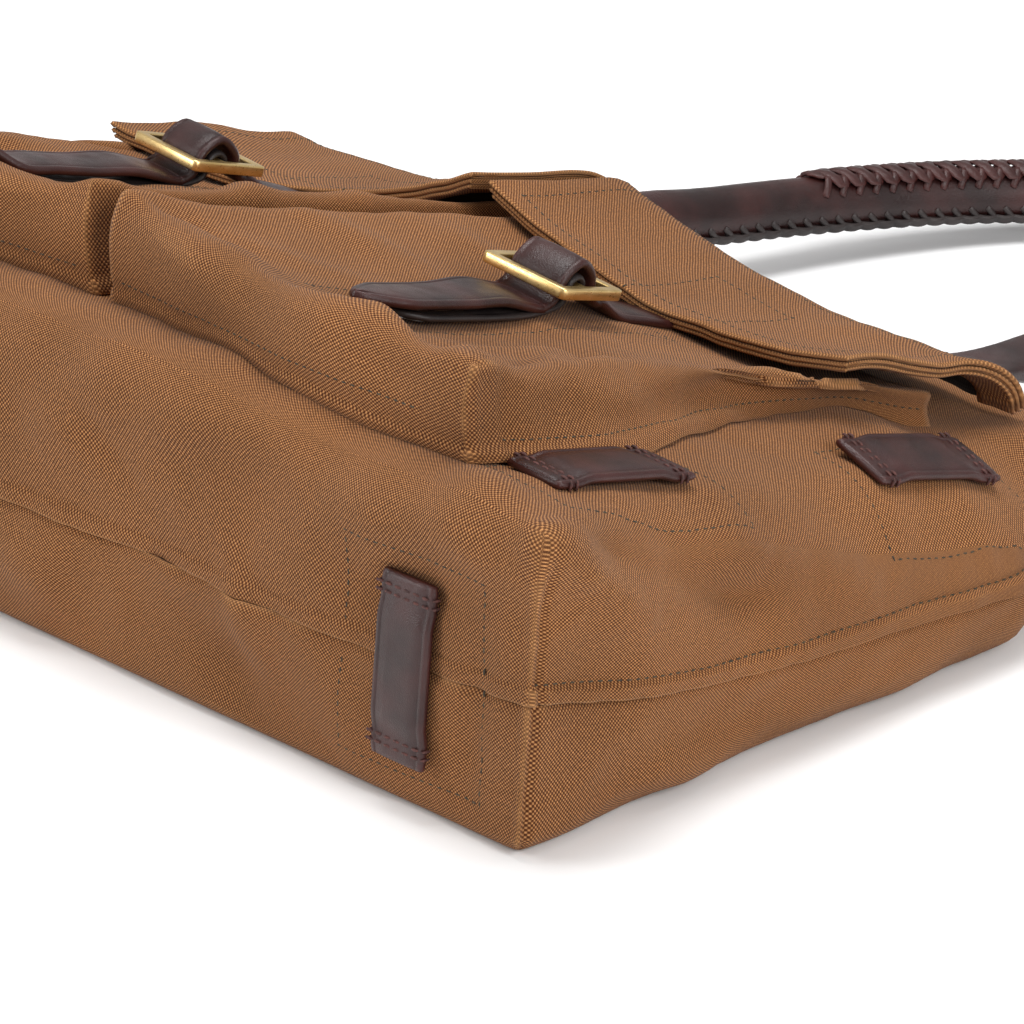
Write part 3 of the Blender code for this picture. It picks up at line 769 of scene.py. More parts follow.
def make_back_canvas():
    bm = bmesh.new()
    ys = close_to(0, 40, 18, 1.3)[:-1] + steps(40, LENGTH, 72)
    xs = sorted(set([-0.992, -0.98, 0.98, 0.992] + steps(-1, 1, 110)))
    shares = [0, 0.03, 0.06, 0.1] + steps(0.16, 1, 16)

    def face(u, y):
        return body_place(u * along(HALF_WIDTHS, y), y, 1, False)

    def bottom(u, share):
        return body_place(u * along(HALF_WIDTHS, 0), 0, share, False)

    add_grid(bm, xs, ys, face, lambda u, y: (u * 0.219, 0.7 + y * MM))
    add_grid(bm, xs, shares, bottom, lambda u, s: (u * 0.219, 0.7 - 0.048 * (1 - s)))
    for sign in (-1, 1):

        def side(y, share):
            return body_place(sign * along(HALF_WIDTHS, y), y, share, False)

        add_grid(bm, ys, shares, side, lambda y, s: (sign * (0.219 + 0.04 * (1 - s)), 0.7 + y * MM))
    made = to_object("canvas_back", bm, canvas, centre=(0, 130, 34))
    displace(made, body_displacement(False))
    groove_corners(made)
    for vertex in made.data.vertices:
        vertex.co.z = max(vertex.co.z, 0.0)
    thicken(made, CANVAS, -1, 0)
    return made


front_canvas = make_front_canvas()
back_canvas = make_back_canvas()
front_tree = tree_of(front_canvas)
back_tree = tree_of(back_canvas)


# Pockets


def on_front_canvas(x, y):
    """The height of the front canvas at (x, y)."""
    place, _ = drop(front_tree, (x, y, front_height(x, y)), (0, 0, -1))
    return place.z


def across_profile(inner, middle, outer, across, y, power=1.8):
    """Reads a height across a pocket from its heights inside, in the middle and outside."""
    low, mid, high = (flowing(stations, y) for stations in (inner, middle, outer))
    a = across / POCKET_HALF
    return mid + (high - low) / 2 * a + ((high + low) / 2 - mid) * abs(a) ** power


def pocket_height(across, y):
    return across_profile(POCKET_INNER, POCKET_MIDDLE, POCKET_OUTER, across, y, 2.6)


def pocket_place(sign, across, y, depth):
    """A point of a pocket's cloth, depth below its face. y counts from its bottom seam."""
    start = flowing(POCKET_BASE_Y, across)
    side = POCKET_HALF - abs(across)
    corner = ease(side, 0, 26)
    y, depth = round_edge(y, depth, 2.5 + (POCKET_ROUND - 2.5) * corner)
    side, depth = round_edge(side, depth, 2.5 + 5.5 * ease(y, 0, 30) * (1 - 0.6 * ease(y, 100, 150)))
    across = (POCKET_HALF - side) * (1 if across >= 0 else -1)
    height = pocket_height(across, start + y)
    t = clamp(depth / height, 0, 1)
    wall = 1 - ease(y, 0, 12)
    y_at = start + y - wall * (3.2 * sin(pi * t) + 2.0 * t)
    flare = flowing(POCKET_FLARE, start + y) if across > 0 else -3.0
    spread = flare * t**1.2 * (abs(across) / POCKET_HALF) ** 4
    if across > 0:
        spread += flowing(POCKET_SPREAD, start + y) * (across / POCKET_HALF) ** 1.6
    tuck = 2.6 * sin(pi * t) * (1 - wall) * ease(abs(across), 60, POCKET_HALF)
    x = sign * (POCKET_X + across + spread - tuck * (1 if across > 0 else -1))
    base = on_front_canvas(x, y_at) + 0.2
    face = front_height(x, start + y) + height
    return Vector((x, y_at, base * t + face * (1 - t)))


POCKET_FOLDING = 2.3
POCKET_CREASES = (
    # start, end as (across, y, height over the front), width, height
    ((70, 30, 30), (40, 62, 24), 9, -2.2),
    ((52, 26, 33), (20, 48, 28), 9, 1.8),
    ((74, 60, 24), (50, 92, 19), 11, 1.8),
    ((72, 100, 22), (44, 110, 18), 10, -1.6),
    ((-70, 36, 36), (-40, 66, 28), 10, -2.0),
    ((-30, 32, 36), (-8, 60, 27), 10, 1.6),
    ((-74, 100, 33), (-40, 120, 22), 12, 1.6),
    ((20, 24, 20), (-20, 28, 26), 12, -1.6),
    ((78, 60, 14), (80, 100, 12), 7, 1.8),
    ((76, 130, 12), (74, 180, 12), 8, -1.8),
    ((86, 30, 33), (58, 44, 29), 6, 1.3),
    ((80, 44, 25), (52, 84, 19), 7, -1.5),
    ((82, 72, 23), (60, 122, 19), 8, 1.4),
    ((86, 92, 13), (78, 150, 11), 6, -1.4),
    ((28, 62, 19), (60, 104, 19), 10, 1.3),
    ((-62, 48, 35), (-22, 92, 22), 9, 1.3),
    ((-58, 28, 30), (-20, 24, 20), 9, 1.3),
    ((40, 22, 24), (76, 24, 18), 8, -1.2),
    ((-66, 150, 29), (-24, 182, 15), 11, 1.2),
)


def pocket_displacement(sign):
    folds = []
    for start, end, width, height in POCKET_CREASES:
        ends = []
        for across, y, high in (start, end):
            x = sign * (POCKET_X + across)
            ends.append(Vector((x, y, front_height(x, y) + high)))
        folds.append((*ends, width, height))

    def amount(place, normal):
        total = cloth_noise(place, 11.0 + sign) * 0.75
        for fold in folds:
            total += POCKET_FOLDING * fold_at(place, *fold)
        return total

    return amount


def make_pocket(name, sign):
    bm = bmesh.new()
    acrosses = [-POCKET_HALF, -75, -73.5, -71] + steps(-68, 68, 56) + [71, 73.5, 75, POCKET_HALF]
    length = POCKET_MOUTH - 24
    ys = [0, 1, 2.2, 3.6] + steps(5.5, 30, 10)[:-1] + steps(30, length, 70)
    walls = [0, 0.06, 0.12, 0.2] + steps(0.28, 0.82, 7) + [0.86, 0.9, 0.94, 0.97, 1.0]

    def face(across, y):
        return pocket_place(sign, across, y, 0)

    def bottom(across, t):
        start = flowing(POCKET_BASE_Y, across)
        return pocket_place(sign, across, 0, t * pocket_height(across, start))

    add_grid(bm, acrosses, ys, face, lambda a, y: (1.4 + a * MM, y * MM))
    add_grid(bm, acrosses, walls, bottom, lambda a, t: (1.4 + a * MM, -0.034 * t))
    for edge in (-POCKET_HALF, POCKET_HALF):
        start = flowing(POCKET_BASE_Y, edge)

        def side(y, t):
            return pocket_place(sign, edge, y, t * pocket_height(edge, start + y))

        add_grid(bm, ys, walls, side, lambda y, t: (1.6 + 0.028 * t, y * MM))
    centre = (sign * POCKET_X, 130, front_height(POCKET_X, 130) + 6)
    made = to_object("pocket_cloth_" + name, bm, canvas, centre=centre)
    wrinkles = pocket_displacement(sign)

    def amount(place, normal):
        ground = on_front_canvas(place.x, place.y)
        height = place.z - ground
        total = wrinkles(place, normal) * ease(height, 0.5, 9) * (1 - 0.7 * ease(place.y, 165, 190))
        steep = 1 - ease(abs(normal.z), 0.55, 0.8)
        total += 1.5 * (1 - ease(height, 3.4, 4.8)) * steep * (1 - ease(place.y, 140, 165))
        outer = sign * place.x - POCKET_X > 60
        if outer and steep > 0.5 and abs(normal.x) > 0.5:
            beside = place.y - 24
            total += 0.9 * (1 - ease(beside, 9.5, 10.8)) + 0.5 * bump(beside, 2.0)
        return total

    displace(made, amount)
    thicken(made, CANVAS, -1)
    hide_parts("pocket_face_" + name, "pocket_gusset_" + name)
    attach(made, "root")
    return made


# Flaps

FAR_SKEW = 22.0  # how far the far flap's outer corner reaches down over its pocket
FLAP_INNER = ((191, 29.5), (240, 30), (270, 30))
FLAP_MIDDLE = ((191, 8.5), (215, 9.5), (240, 12.5), (270, 14))
FLAP_OUTER = ((191, 16.5), (225, 17.5), (240, 18), (270, 18))


def flap_height(across, y):
    """Height of a flap's under side over the front canvas."""
    low = across_profile(FLAP_INNER, FLAP_MIDDLE, FLAP_OUTER, across, min(y, 262))
    bend = POCKET_MOUTH + 4
    if y <= bend:
        return low
    turn = clamp((y - bend) / (FLAP_FOOT - bend), 0, 1)
    return FOOT_HEIGHT + (low - FOOT_HEIGHT) * (1 - turn**2.4) ** 0.55


def flap_point(sign, across, y, lift):
    x = sign * (POCKET_X + across + 6 * ease(y, 245, FLAP_FOOT) * ease(across, 20, FLAP_HALF))
    if sign < 0:
        y -= FAR_SKEW * ease(across, -20, FLAP_HALF) * (1 - ease(y, FLAP_EDGE, 250))
    height = flap_height(across, max(y, FLAP_EDGE))
    drooped = flap_height(across, min(y + 1.5, FLAP_FOOT)) - flap_height(across, y - 1.5)
    normal = Vector((0, FRONT_SLOPE - drooped / 3.0, 1)).normalized()
    ripple = 1.1 * noise.noise(Vector((x / 26, y / 30, 7.7))) + 0.5 * noise.noise(
        Vector((x / 9, y / 14, 2.2))
    )
    return Vector((x, y, front_height(x, y) + height)) + normal * (lift + ripple)


def flap_sheet(name, sign, material, low, thick, inset, curl, strip=None):
    """One layer of a flap, with its worn edges curled down by curl."""
    bm = bmesh.new()
    half = FLAP_HALF - inset
    first = FLAP_EDGE + inset
    edge_steps = [0, 0.5, 1.1, 2.0, 3.2]
    acrosses = [-half + s for s in edge_steps] + steps(-half + 5, half - 5, 52)
    acrosses += [half - s for s in edge_steps[::-1]]
    ys = [first + s for s in edge_steps] + steps(first + 5, 252, 20)[:-1]
    ys += steps(252, FLAP_FOOT, 14)

    def top(across, y):
        aside = min(half - abs(across), y - first)
        fall = 0.0
        if aside < curl:
            fall = curl - (curl**2 - (curl - aside) ** 2) ** 0.5
        hem = 0.45 * (1 - ease(aside, 8.0, 9.2))
        return flap_point(sign, across, y, low + thick + hem - fall)

    add_grid(bm, acrosses, ys, top, lambda a, y: (2.0 + a * MM, y * MM))
    if strip is not None:
        inner = []
        for face in bm.faces:
            centre = bag(face.calc_center_median())
            aside = half - abs(sign * centre.x - POCKET_X)
            if min(aside, centre.y - first) > strip:
                inner.append(face)
        bmesh.ops.delete(bm, geom=inner, context="FACES")
    made = to_object(name, bm, material, up=Vector((0, 0.3, 1)))
    return thicken(made, thick, -1)


def make_flap(name, sign):
    body = "flap_" + name
    outer = flap_sheet("flap_cloth_" + name, sign, canvas, 3.4, 2.0, 0.0, 1.3)
    fold = flap_sheet("flap_hem_" + name, sign, canvas, 1.5, 1.6, 0.5, 0.8, strip=9.5)
    under = flap_sheet("flap_under_hem_" + name, sign, canvas, 0.0, 1.3, 1.3, 0.6, strip=8.5)
    inside = flap_sheet("flap_inside_" + name, sign, lining, 1.9, 0.9, 8.0, 0.4)
    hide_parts("flap_" + name)
    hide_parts("flap_lining_" + name)
    for piece, finish in ((outer, "canvas"), (fold, "canvas"), (under, "canvas"), (inside, "lining")):
        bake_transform(piece)
    tree = tree_of(outer)
    bm = bmesh.new()
    way = (0, 0, -1)
    hem = 8.6
    rows = [
        [(-FLAP_HALF + hem, 262), (-FLAP_HALF + hem, FLAP_EDGE + hem)],
        [(-FLAP_HALF + hem, FLAP_EDGE + hem), (FLAP_HALF - hem, FLAP_EDGE + hem)],
        [(FLAP_HALF - hem, FLAP_EDGE + hem), (FLAP_HALF - hem, 262)],
        [(-FLAP_HALF + 2, 256), (FLAP_HALF - 2, 256)],
        [(-17, FLAP_EDGE + 2), (-17, 236)],
        [(-17, 236), (17, 236)],
        [(17, 236), (17, FLAP_EDGE + 2)],
    ]
    for start, end in rows:
        points = [
            (sign * (POCKET_X + a.x), a.y, front_height(POCKET_X, a.y) + 20)
            for a in line((*start, 0), (*end, 0), 36)
        ]
        add_stitches(bm, on_cloth(tree, points, way), *CANVAS_STITCH)
    finish_stitches(bm, "flap_stitches_" + name, thread, body)
    return outer


def finish_stitches(bm, name, material, body, blended=None):
    made = to_object(name, bm, material)
    if blended is None:
        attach(made, body)
    else:
        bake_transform(made)
    return made


# Straps, snaps and buckles


def strap_level(y, lift):
    height = front_height(POCKET_X, y) + pocket_height(0, y)
    return Vector((0, y, height + lift))


def bar_centre(sign):
    return Vector((sign * POCKET_X, BAR_Y, front_height(POCKET_X, BAR_Y) + BAR_HEIGHT))


ROLL = radians(9.0)  # the near end of strap and buckle hangs lower
SKEW = radians(-5.0)


def tilted(sign, point):
    """Rolls and skews a point of strap or buckle about the buckle's bar."""
    pivot = bar_centre(sign)
    skew, roll = -SKEW, ROLL
    if sign < 0:
        skew, roll = SKEW * 0.6, ROLL * 0.5
    turn = Matrix.Rotation(skew, 4, "Z") @ Matrix.Rotation(roll * near_buckle(point), 4, "Y")
    return pivot + turn @ (Vector(point) - pivot)


def near_buckle(point):
    return 0.35 + 0.65 * (1 - ease(abs(point[1] - BAR_Y), 18, 60))


def leather_strap(bm, sign, path, width, thick, tip):
    """A strap along a path of points in the pocket's middle plane, its first end pointed."""
    x = sign * POCKET_X
    centres = smooth_path([Vector((x, p.y, p.z)) for p in path], 6)
    sides, ups = frames_of(centres, Vector((1, 0, 0)))
    reach = [0.0]
    for a, b in zip(centres, centres[1:]):
        reach.append(reach[-1] + (b - a).length)

    def section(i):
        full = 1 if tip == 0 else clamp(reach[i] / tip, 0.0, 1) ** 0.62 * 0.94 + 0.06
        half = width / 2 * min(full, 1)
        plain = strap_section(max(half, 3.4), thick)
        return [(a * half / max(half, 3.4), b) for a, b in plain]

    rings = len(bm.verts)
    sweep(bm, centres, sides, ups, section)
    bm.verts.ensure_lookup_table()
    for vertex in bm.verts[rings:]:
        vertex.co = world(tilted(sign, bag(vertex.co)))


def make_strap(name, sign):
    bar = bar_centre(sign)
    slope = Vector((0, 1, -FRONT_SLOPE)).normalized()
    rise = Vector((0, FRONT_SLOPE, 1)).normalized()

    def by_bar(places):
        return [bar + slope * forward + rise * up for forward, up in places]

    curl = 11.5 if sign < 0 else 4.0
    tail = [strap_level(TAIL_TIP - 3, curl), strap_level(64, 5.8)]
    tail += [strap_level(y, 6.2) for y in (78, 94)] + [strap_level(110, 6.6)]
    half_arch = ((16.5, -6.3), (13.0, -6.0), (9.0, -3.2), (6.6, 3.4), (0, 7.8))
    arch = by_bar([(-forward, up) for forward, up in half_arch])
    arch += by_bar(list(reversed(half_arch[:-1])))
    end = [strap_level(y, lift) for y, lift in ((168, 2.4), (180, 2.0), (192, 2.2), (206, 2.4))]
    bm = bmesh.new()
    leather_strap(bm, sign, [*tail, *arch, *end], STRAP, LEATHER, 17)
    strap = to_object("strap_" + name, bm, leather)
    base = [strap_level(66, 1.6), strap_level(84, 1.6), strap_level(104, 1.5), strap_level(122, 1.6)]
    wrap = by_bar(((-6.6, -6.2), (-3.8, -2.2), (-2.6, 1.8), (0.4, 3.0), (3.0, 1.2), (3.3, -2.2)))
    bm = bmesh.new()
    leather_strap(bm, sign, [*base, *wrap], STRAP - 1, 2.2, 9)
    under = to_object("keeper_" + name, bm, edge_leather)
    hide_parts("flap_strap_" + name)
    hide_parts("base_strap_" + name)
    for piece in (strap, under):
        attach(piece, "flap_" + name)
    bm = bmesh.new()
    place = strap_level(SNAP_Y, -1.4)
    place.x = sign * POCKET_X
    turned_disc(bm, place, rise, ((0, 0.9), (5, 0.9), (6.6, 0.4), (7, -0.6)))
    stud = to_object("snap_cap_" + name, bm, steel)
    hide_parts("snap_stud_" + name)
    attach(stud, "flap_" + name)
    bm = bmesh.new()
    place = strap_level(SNAP_Y, -3.6)
    place.x = sign * POCKET_X
    turned_disc(bm, place, rise, ((0, 0.9), (6.4, 0.9), (7.6, 0.3), (8, -0.9)))
    magnet = to_object("snap_plate_" + name, bm, steel)
    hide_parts("snap_magnet_" + name)
    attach(magnet, "root")
    patch_stitches(name, sign)


def patch_stitches(name, sign):
    """The rectangle sewn round the strap's place on the pocket's face."""
    tree = tree_of(bpy.data.objects["pocket_cloth_" + name])
    corners = [(-19, 58), (19, 58), (19, 178), (-19, 178)]
    points = [
        (sign * (POCKET_X + p.x), p.y, front_height(POCKET_X, p.y) + 20)
        for p in outline([(*c, 0) for c in corners])
    ]
    bm = bmesh.new()
    add_stitches(bm, on_cloth(tree, points, (0, 0, -1)), *CANVAS_STITCH)
    base_line = []
    for a in steps(-72, 72, 48):
        start = flowing(POCKET_BASE_Y, a)
        base_line.append((sign * (POCKET_X + a), start, front_height(POCKET_X, start) + 8.5))
    add_stitches(bm, on_cloth(tree, base_line, (0, 1, -0.1)), *CANVAS_STITCH)
    side_line = []
    for y in steps(36, 236, 70):
        x = sign * (POCKET_X + POCKET_HALF)
        side_line.append((x, y, front_height(x, y) + 6.2))
    add_stitches(bm, on_cloth(tree, side_line, (-sign, 0, 0)), *CANVAS_STITCH)
    finish_stitches(bm, "pocket_stitches_" + name, thread, "root")


def turned_disc(bm, centre, axis, profile, count=24):
    """A turned piece about an axis through centre, from (radius, height) points."""
    axis = axis.normalized()
    aside = axis.orthogonal().normalized()
    other = axis.cross(aside)
    rings = []
    closed = list(profile) + [(profile[-1][0] - 0.5, profile[-1][1] - 0.1), (0, profile[-1][1] - 0.1)]
    for radius, height in closed:
        if radius <= 0:
            rings.append([bm.verts.new(world(centre + axis * height))])
            continue
        ring = []
        for k in range(count):
            turn = 2 * pi * k / count
            spot = centre + axis * height + (aside * cos(turn) + other * sin(turn)) * radius
            ring.append(bm.verts.new(world(spot)))
        rings.append(ring)
    for low, high in zip(rings, rings[1:]):
        for k in range(count):
            n = (k + 1) % count
            corners = [low[k % len(low)], low[n % len(low)], high[n % len(high)], high[k % len(high)]]
            bm.faces.new(list(dict.fromkeys(corners)))


def make_buckle(name, sign):
    """A square brass frame of square wire with worn corners, and the bar across its middle."""
    bm = bmesh.new()
    centre = bar_centre(sign)
    pitch = Matrix.Rotation(-atan(FRONT_SLOPE) - radians(4), 4, "X")
    half_x, half_y, wire, deep, soft = 15.2, 13.7, 1.85, 1.8, 0.5
    section = []
    for cx, cy in ((1, 1), (-1, 1), (-1, -1), (1, -1)):
        for turn in (0, 45, 90):
            base = radians(turn) + {(1, 1): 0, (-1, 1): pi / 2, (-1, -1): pi, (1, -1): 1.5 * pi}[(cx, cy)]
            section.append((cx * (wire - soft) + soft * cos(base), cy * (deep - soft) + soft * sin(base)))
    rings = []
    for out, up in section:
        ring = []
        for cx, cy, first in ((1, 1, 0), (-1, 1, pi / 2), (-1, -1, pi), (1, -1, 1.5 * pi)):
            for step in range(4):
                turn = first + step * pi / 6
                radius = 0.7 + max(out + wire, 0) * 0.35
                spot = Vector(
                    (
                        cx * (half_x + out - radius) + radius * cos(turn),
                        cy * (half_y + out - radius) + radius * sin(turn),
                        up,
                    )
                )
                ring.append(bm.verts.new(spot))
        rings.append(ring)
    for low, high in zip(rings, rings[1:] + rings[:1]):
        for k in range(len(low)):
            n = (k + 1) % len(low)
            bm.faces.new((low[k], low[n], high[n], high[k]))
    for vertex in bm.verts:
        vertex.co = world(tilted(sign, centre + pitch @ vertex.co))
    made = to_object("buckle_frame_" + name, bm, brass)
    mesh = made.data
    mesh.set_sharp_from_angle(angle=radians(50))
    bm = bmesh.new()
    xs = steps(-15.4, 15.4, 10)
    centres = [centre + Vector((x, 0, 0)) for x in xs]
    sides = [Vector((0, 1, 0))] * len(xs)
    ups = [Vector((0, 0, 1))] * len(xs)
    sweep(bm, centres, sides, ups, lambda i: round_section(1.5, 1.5, 16))
    for vertex in bm.verts:
        vertex.co = world(tilted(sign, bag(vertex.co)))
    rod = to_object("buckle_bar_" + name, bm, brass)
    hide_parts("buckle_" + name)
    for piece in (made, rod):
        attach(piece, "buckle_" + name)


# Sewn-on loops


def make_loop(name, node_name, tree, centre, ahead, way, rise=1.3):
    """A loop of thick leather sewn down at both ends, on the canvas that way points to."""
    ahead = Vector(ahead)
    way = Vector(way)
    half = LOOP_LENGTH / 2
    side = way.cross(ahead).normalized()
    spots = []
    for t in steps(-half, half, 44):
        lifts = []
        for s in (-8, 0, 8):
            place, _ = drop(tree, Vector(centre) + ahead * t + side * s, way)
            lifts.append((place - Vector(centre)).dot(-way))
        spots.append((t, lifts))
    level = [sum(l[k] for _, l in spots) / len(spots) for k in range(3)]
    slope = (level[2] - level[0]) / 16
    up = (-way - side * slope).normalized()
    across = up.cross(ahead).normalized()
    if across.dot(side) < 0:
        across = -across
    ends = [sum(spots[2][1]) / 3, sum(spots[-3][1]) / 3]
    bases = [ends[0] + (ends[1] - ends[0]) * (t + half) / (2 * half) for t, _ in spots]
    stand = max(sum(lifts) / 3 - base for (_, lifts), base in zip(spots, bases))
    centres = []
    for (t, lifts), base in zip(spots, bases):
        arch = rise * (1 - ease(abs(t), half - 14, half - 7))
        high = base + max(0.0, min(stand, 3.5)) * 0.8 + LEATHER / 2 + arch
        centres.append(Vector(centre) + ahead * t - way * high)
    sides = [across] * len(centres)
    ups = []
    last = len(centres) - 1
    for i in range(last + 1):
        run = centres[min(i + 1, last)] - centres[max(i - 1, 0)]
        ups.append(across.cross(run).normalized() * (1 if across.cross(run).dot(up) > 0 else -1))

    def section(i):
        close = min(i, last - i)
        trim = (0.4, 0.12, 0.0)[min(close, 2)]
        return [(a * (1 - trim / 11), b * (1 - trim * 0.7)) for a, b in strap_section(STRAP / 2, LEATHER)]

    bm = bmesh.new()
    sweep(bm, centres, sides, ups, section)
    made = to_object(name, bm, leather)
    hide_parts(node_name)
    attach(made, "root")
    bm = bmesh.new()
    for t in (-half + 3.2, -half + 6.6, half - 6.6, half - 3.2):
        index = round((t + half) / (2 * half) * last)
        row = []
        for s in steps(-10.9, 10.9, 12):
            row.append((centres[index] + across * s + ups[index] * (LEATHER / 2 + 0.3), ups[index]))
        for s, tilt in ((-11.3, -1), (11.3, 1)):
            spot = centres[index] + across * s
            add_stitch(bm, spot, ups[index], across * tilt, 3.4, 0.45)
        add_stitches(bm, row, 3.0, 0.8, 0.5, 0.1)
    finish_stitches(bm, name + "_stitches", red_thread, "root")
    return centres[last // 2], across, up


def loop_patch(bm, tree, corners, way):
    points = on_cloth(tree, outline(corners), way)
    add_stitches(bm, points, *CANVAS_STITCH)


def make_loops():
    bm = bmesh.new()
    for side, sign in (("left", -1), ("right", 1)):
        for place, y in LOOP_YS.items():
            x = sign * LOOP_X
            z = front_height(LOOP_X, y)
            name = "loop_" + place + "_" + side
            make_loop(name, "side_loop_" + place + "_" + side, front_tree, (x, y, z), (0, 1, 0), (0, 0, -1))
            corners = [(sign * a, b, front_height(a, b)) for a, b in ((178, y - 33), (178, y + 36))]
            corners += [(sign * 214, y + 40, z - 6), (sign * 214, y - 36, z - 4)]
            loop_patch(bm, front_tree, corners, (0, 0, -1))
        x, z = sign * BOTTOM_LOOP[0], BOTTOM_LOOP[1] - 6
        name = "loop_bottom_" + side
        make_loop(name, "bottom_loop_" + side, front_tree_and_back, (x, 0, z), (0, 0, 1), (0, 1, 0), 1.0)
        corners = [(sign * 146, 0, 11), (sign * 203, 0, 11), (sign * 205, 0, 79), (sign * 147, 0, 78)]
        loop_patch(bm, front_tree_and_back, corners, (0, 1, 0))
    finish_stitches(bm, "patch_stitches", thread, "root")


def joined_tree(*objects):
    points, faces = [], []
    for made in objects:
        first = len(points)
        points += [v.co.copy() for v in made.data.vertices]
        faces += [[first + i for i in p.vertices] for p in made.data.polygons]
    return BVHTree.FromPolygons(points, faces)


# Handles


def arch_centre(theta, back):
    reach = BACK_REACH if back else HANDLE_REACH
    root = BACK_ROOT if back else HANDLE_ROOT
    y = root + reach * sin(theta)
    stations = BACK_LEVELS if back else FRONT_LEVELS
    return Vector((-HANDLE_HALF * cos(theta), y, flowing(stations, y)))


FRONT_LEVELS = ((305.5, 42.2), (340, 34), (400, 25), (480, 19.5), (575, 14))
BACK_LEVELS = ((150, 13.9), (200, 11.4), (300, 11.4))
FLAT_HALF = 13.0
FLAT_THICK = 3.2


def handle_route(back):
    """Centres of a handle from one sewn tab over its arch to the other."""
    count = 180
    arch = [arch_centre(pi * i / count, back) for i in range(count + 1)]
    if back:
        heights = [(288, 23.9), (294, 23.9), (299.5, 23.7), (303.6, 22.0), (305.0, 18.5), (303.4, 14.6)]
        lead = [Vector((-HANDLE_HALF, y, z)) for y, z in heights]
    else:
        lead = [Vector((-HANDLE_HALF, y, 42.2)) for y in (287, 291, 295, 299, 302.5)]
    lead = smooth_path(lead + [arch[3]], 3)[:-1]
    tail = [Vector((-p.x, p.y, p.z)) for p in lead[::-1]]
    return lead, arch[3:-3], tail


def handle_frames(route, back):
    last = len(route) - 1
    sides, ups = [], []
    for i in range(last + 1):
        ahead = (route[min(i + 1, last)] - route[max(i - 1, 0)]).normalized()
        middle = Vector((0, BACK_ROOT - 90 if back else HANDLE_ROOT + 90, route[i].z))
        out = route[i] - middle
        level = Vector((ahead.y, -ahead.x, 0))
        if level.length < 0.2:
            level = Vector((1, 0, 0))
        side = level.normalized()
        if side.dot(Vector((out.x, out.y, 0))) < 0:
            side = -side
        sides.append(side)
        up = side.cross(ahead).normalized()
        ups.append(up)
    for i in range(1, last + 1):
        if ups[i].dot(ups[i - 1]) < 0:
            ups[i] = -ups[i]
    return sides, ups


def make_handle(name):
    back = name == "back"
    carrier, body = ("root", "back_handle") if back else ("mouth_front", "front_handle")
    lead, arch, tail = handle_route(back)
    route = lead + arch + tail
    sides, ups = handle_frames(route, back)
    if ups[len(route) // 2].z < 0:
        ups = [-up for up in ups]
    runs = [0.0]
    for a, b in zip(route, route[1:]):
        runs.append(runs[-1] + (b - a).length)
    total = runs[-1]
    lead_run = runs[len(lead) - 1]

    def fullness(run):
        return ease(min(run, total - run) - lead_run, 4, 68)

    def section(i):
        full = fullness(runs[i])
        wide = FLAT_HALF + (HANDLE_RADIUS - FLAT_HALF) * full
        high = FLAT_THICK / 2 + (HANDLE_RADIUS - FLAT_THICK / 2) * full
        points = []
        for k in range(28):
            turn = 2 * pi * k / 28
            a, b = cos(turn), sin(turn)
            square = 1 - full
            a = (abs(a) ** (1 - 0.55 * square)) * (1 if a >= 0 else -1)
            b = (abs(b) ** (1 - 0.45 * square)) * (1 if b >= 0 else -1)
            seam = 1 + 0.05 * full * bump(turn - 1.5 * pi, 0.35)
            points.append((wide * a * seam, high * b * seam))
        return points

    bm = bmesh.new()
    sweep(bm, route, sides, ups, section)
    cover = to_object("handle_leather_" + name, bm, leather)
    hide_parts("handle_cover_" + name, "handle_core_" + name)
    for side in ("left", "right"):
        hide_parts("handle_tab_" + name + "_" + side)
    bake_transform(cover)

    def place_at(run, angle, height):
        """A point on the handle: angle 0 on top, growing outwards, height over its skin."""
        run = clamp(run, 0.01, total - 0.01)
        i = next(k for k in range(1, len(runs)) if runs[k] >= run)
        t = (run - runs[i - 1]) / (runs[i] - runs[i - 1])
        centre = route[i - 1].lerp(route[i], t)
        side = sides[i - 1].lerp(sides[i], t).normalized()
        up = ups[i - 1].lerp(ups[i], t).normalized()
        full = fullness(run)
        wide = FLAT_HALF + (HANDLE_RADIUS - FLAT_HALF) * full + height
        high = FLAT_THICK / 2 + (HANDLE_RADIUS - FLAT_THICK / 2) * full + height
        return centre + side * (wide * sin(angle)) + up * (high * cos(angle))

    make_whip_stitch(name, body, place_at, lead_run + 30, total - lead_run - 30)
    laced = lead_run + 0.215 * total
    make_plait(name, body, place_at, laced, total - laced)


def cord_along(bm, points, wide, high, outs, count=8):
    """A lace along points. outs are the directions away from the skin it lies on."""
    last = len(points) - 1
    sides, ups = [], []
    for i in range(last + 1):
        ahead = (points[min(i + 1, last)] - points[max(i - 1, 0)]).normalized()
        side = ahead.cross(outs[i]).normalized()
        sides.append(side)
        ups.append(side.cross(ahead).normalized())
    sweep(bm, points, sides, ups, lambda i: round_section(wide, high, count))


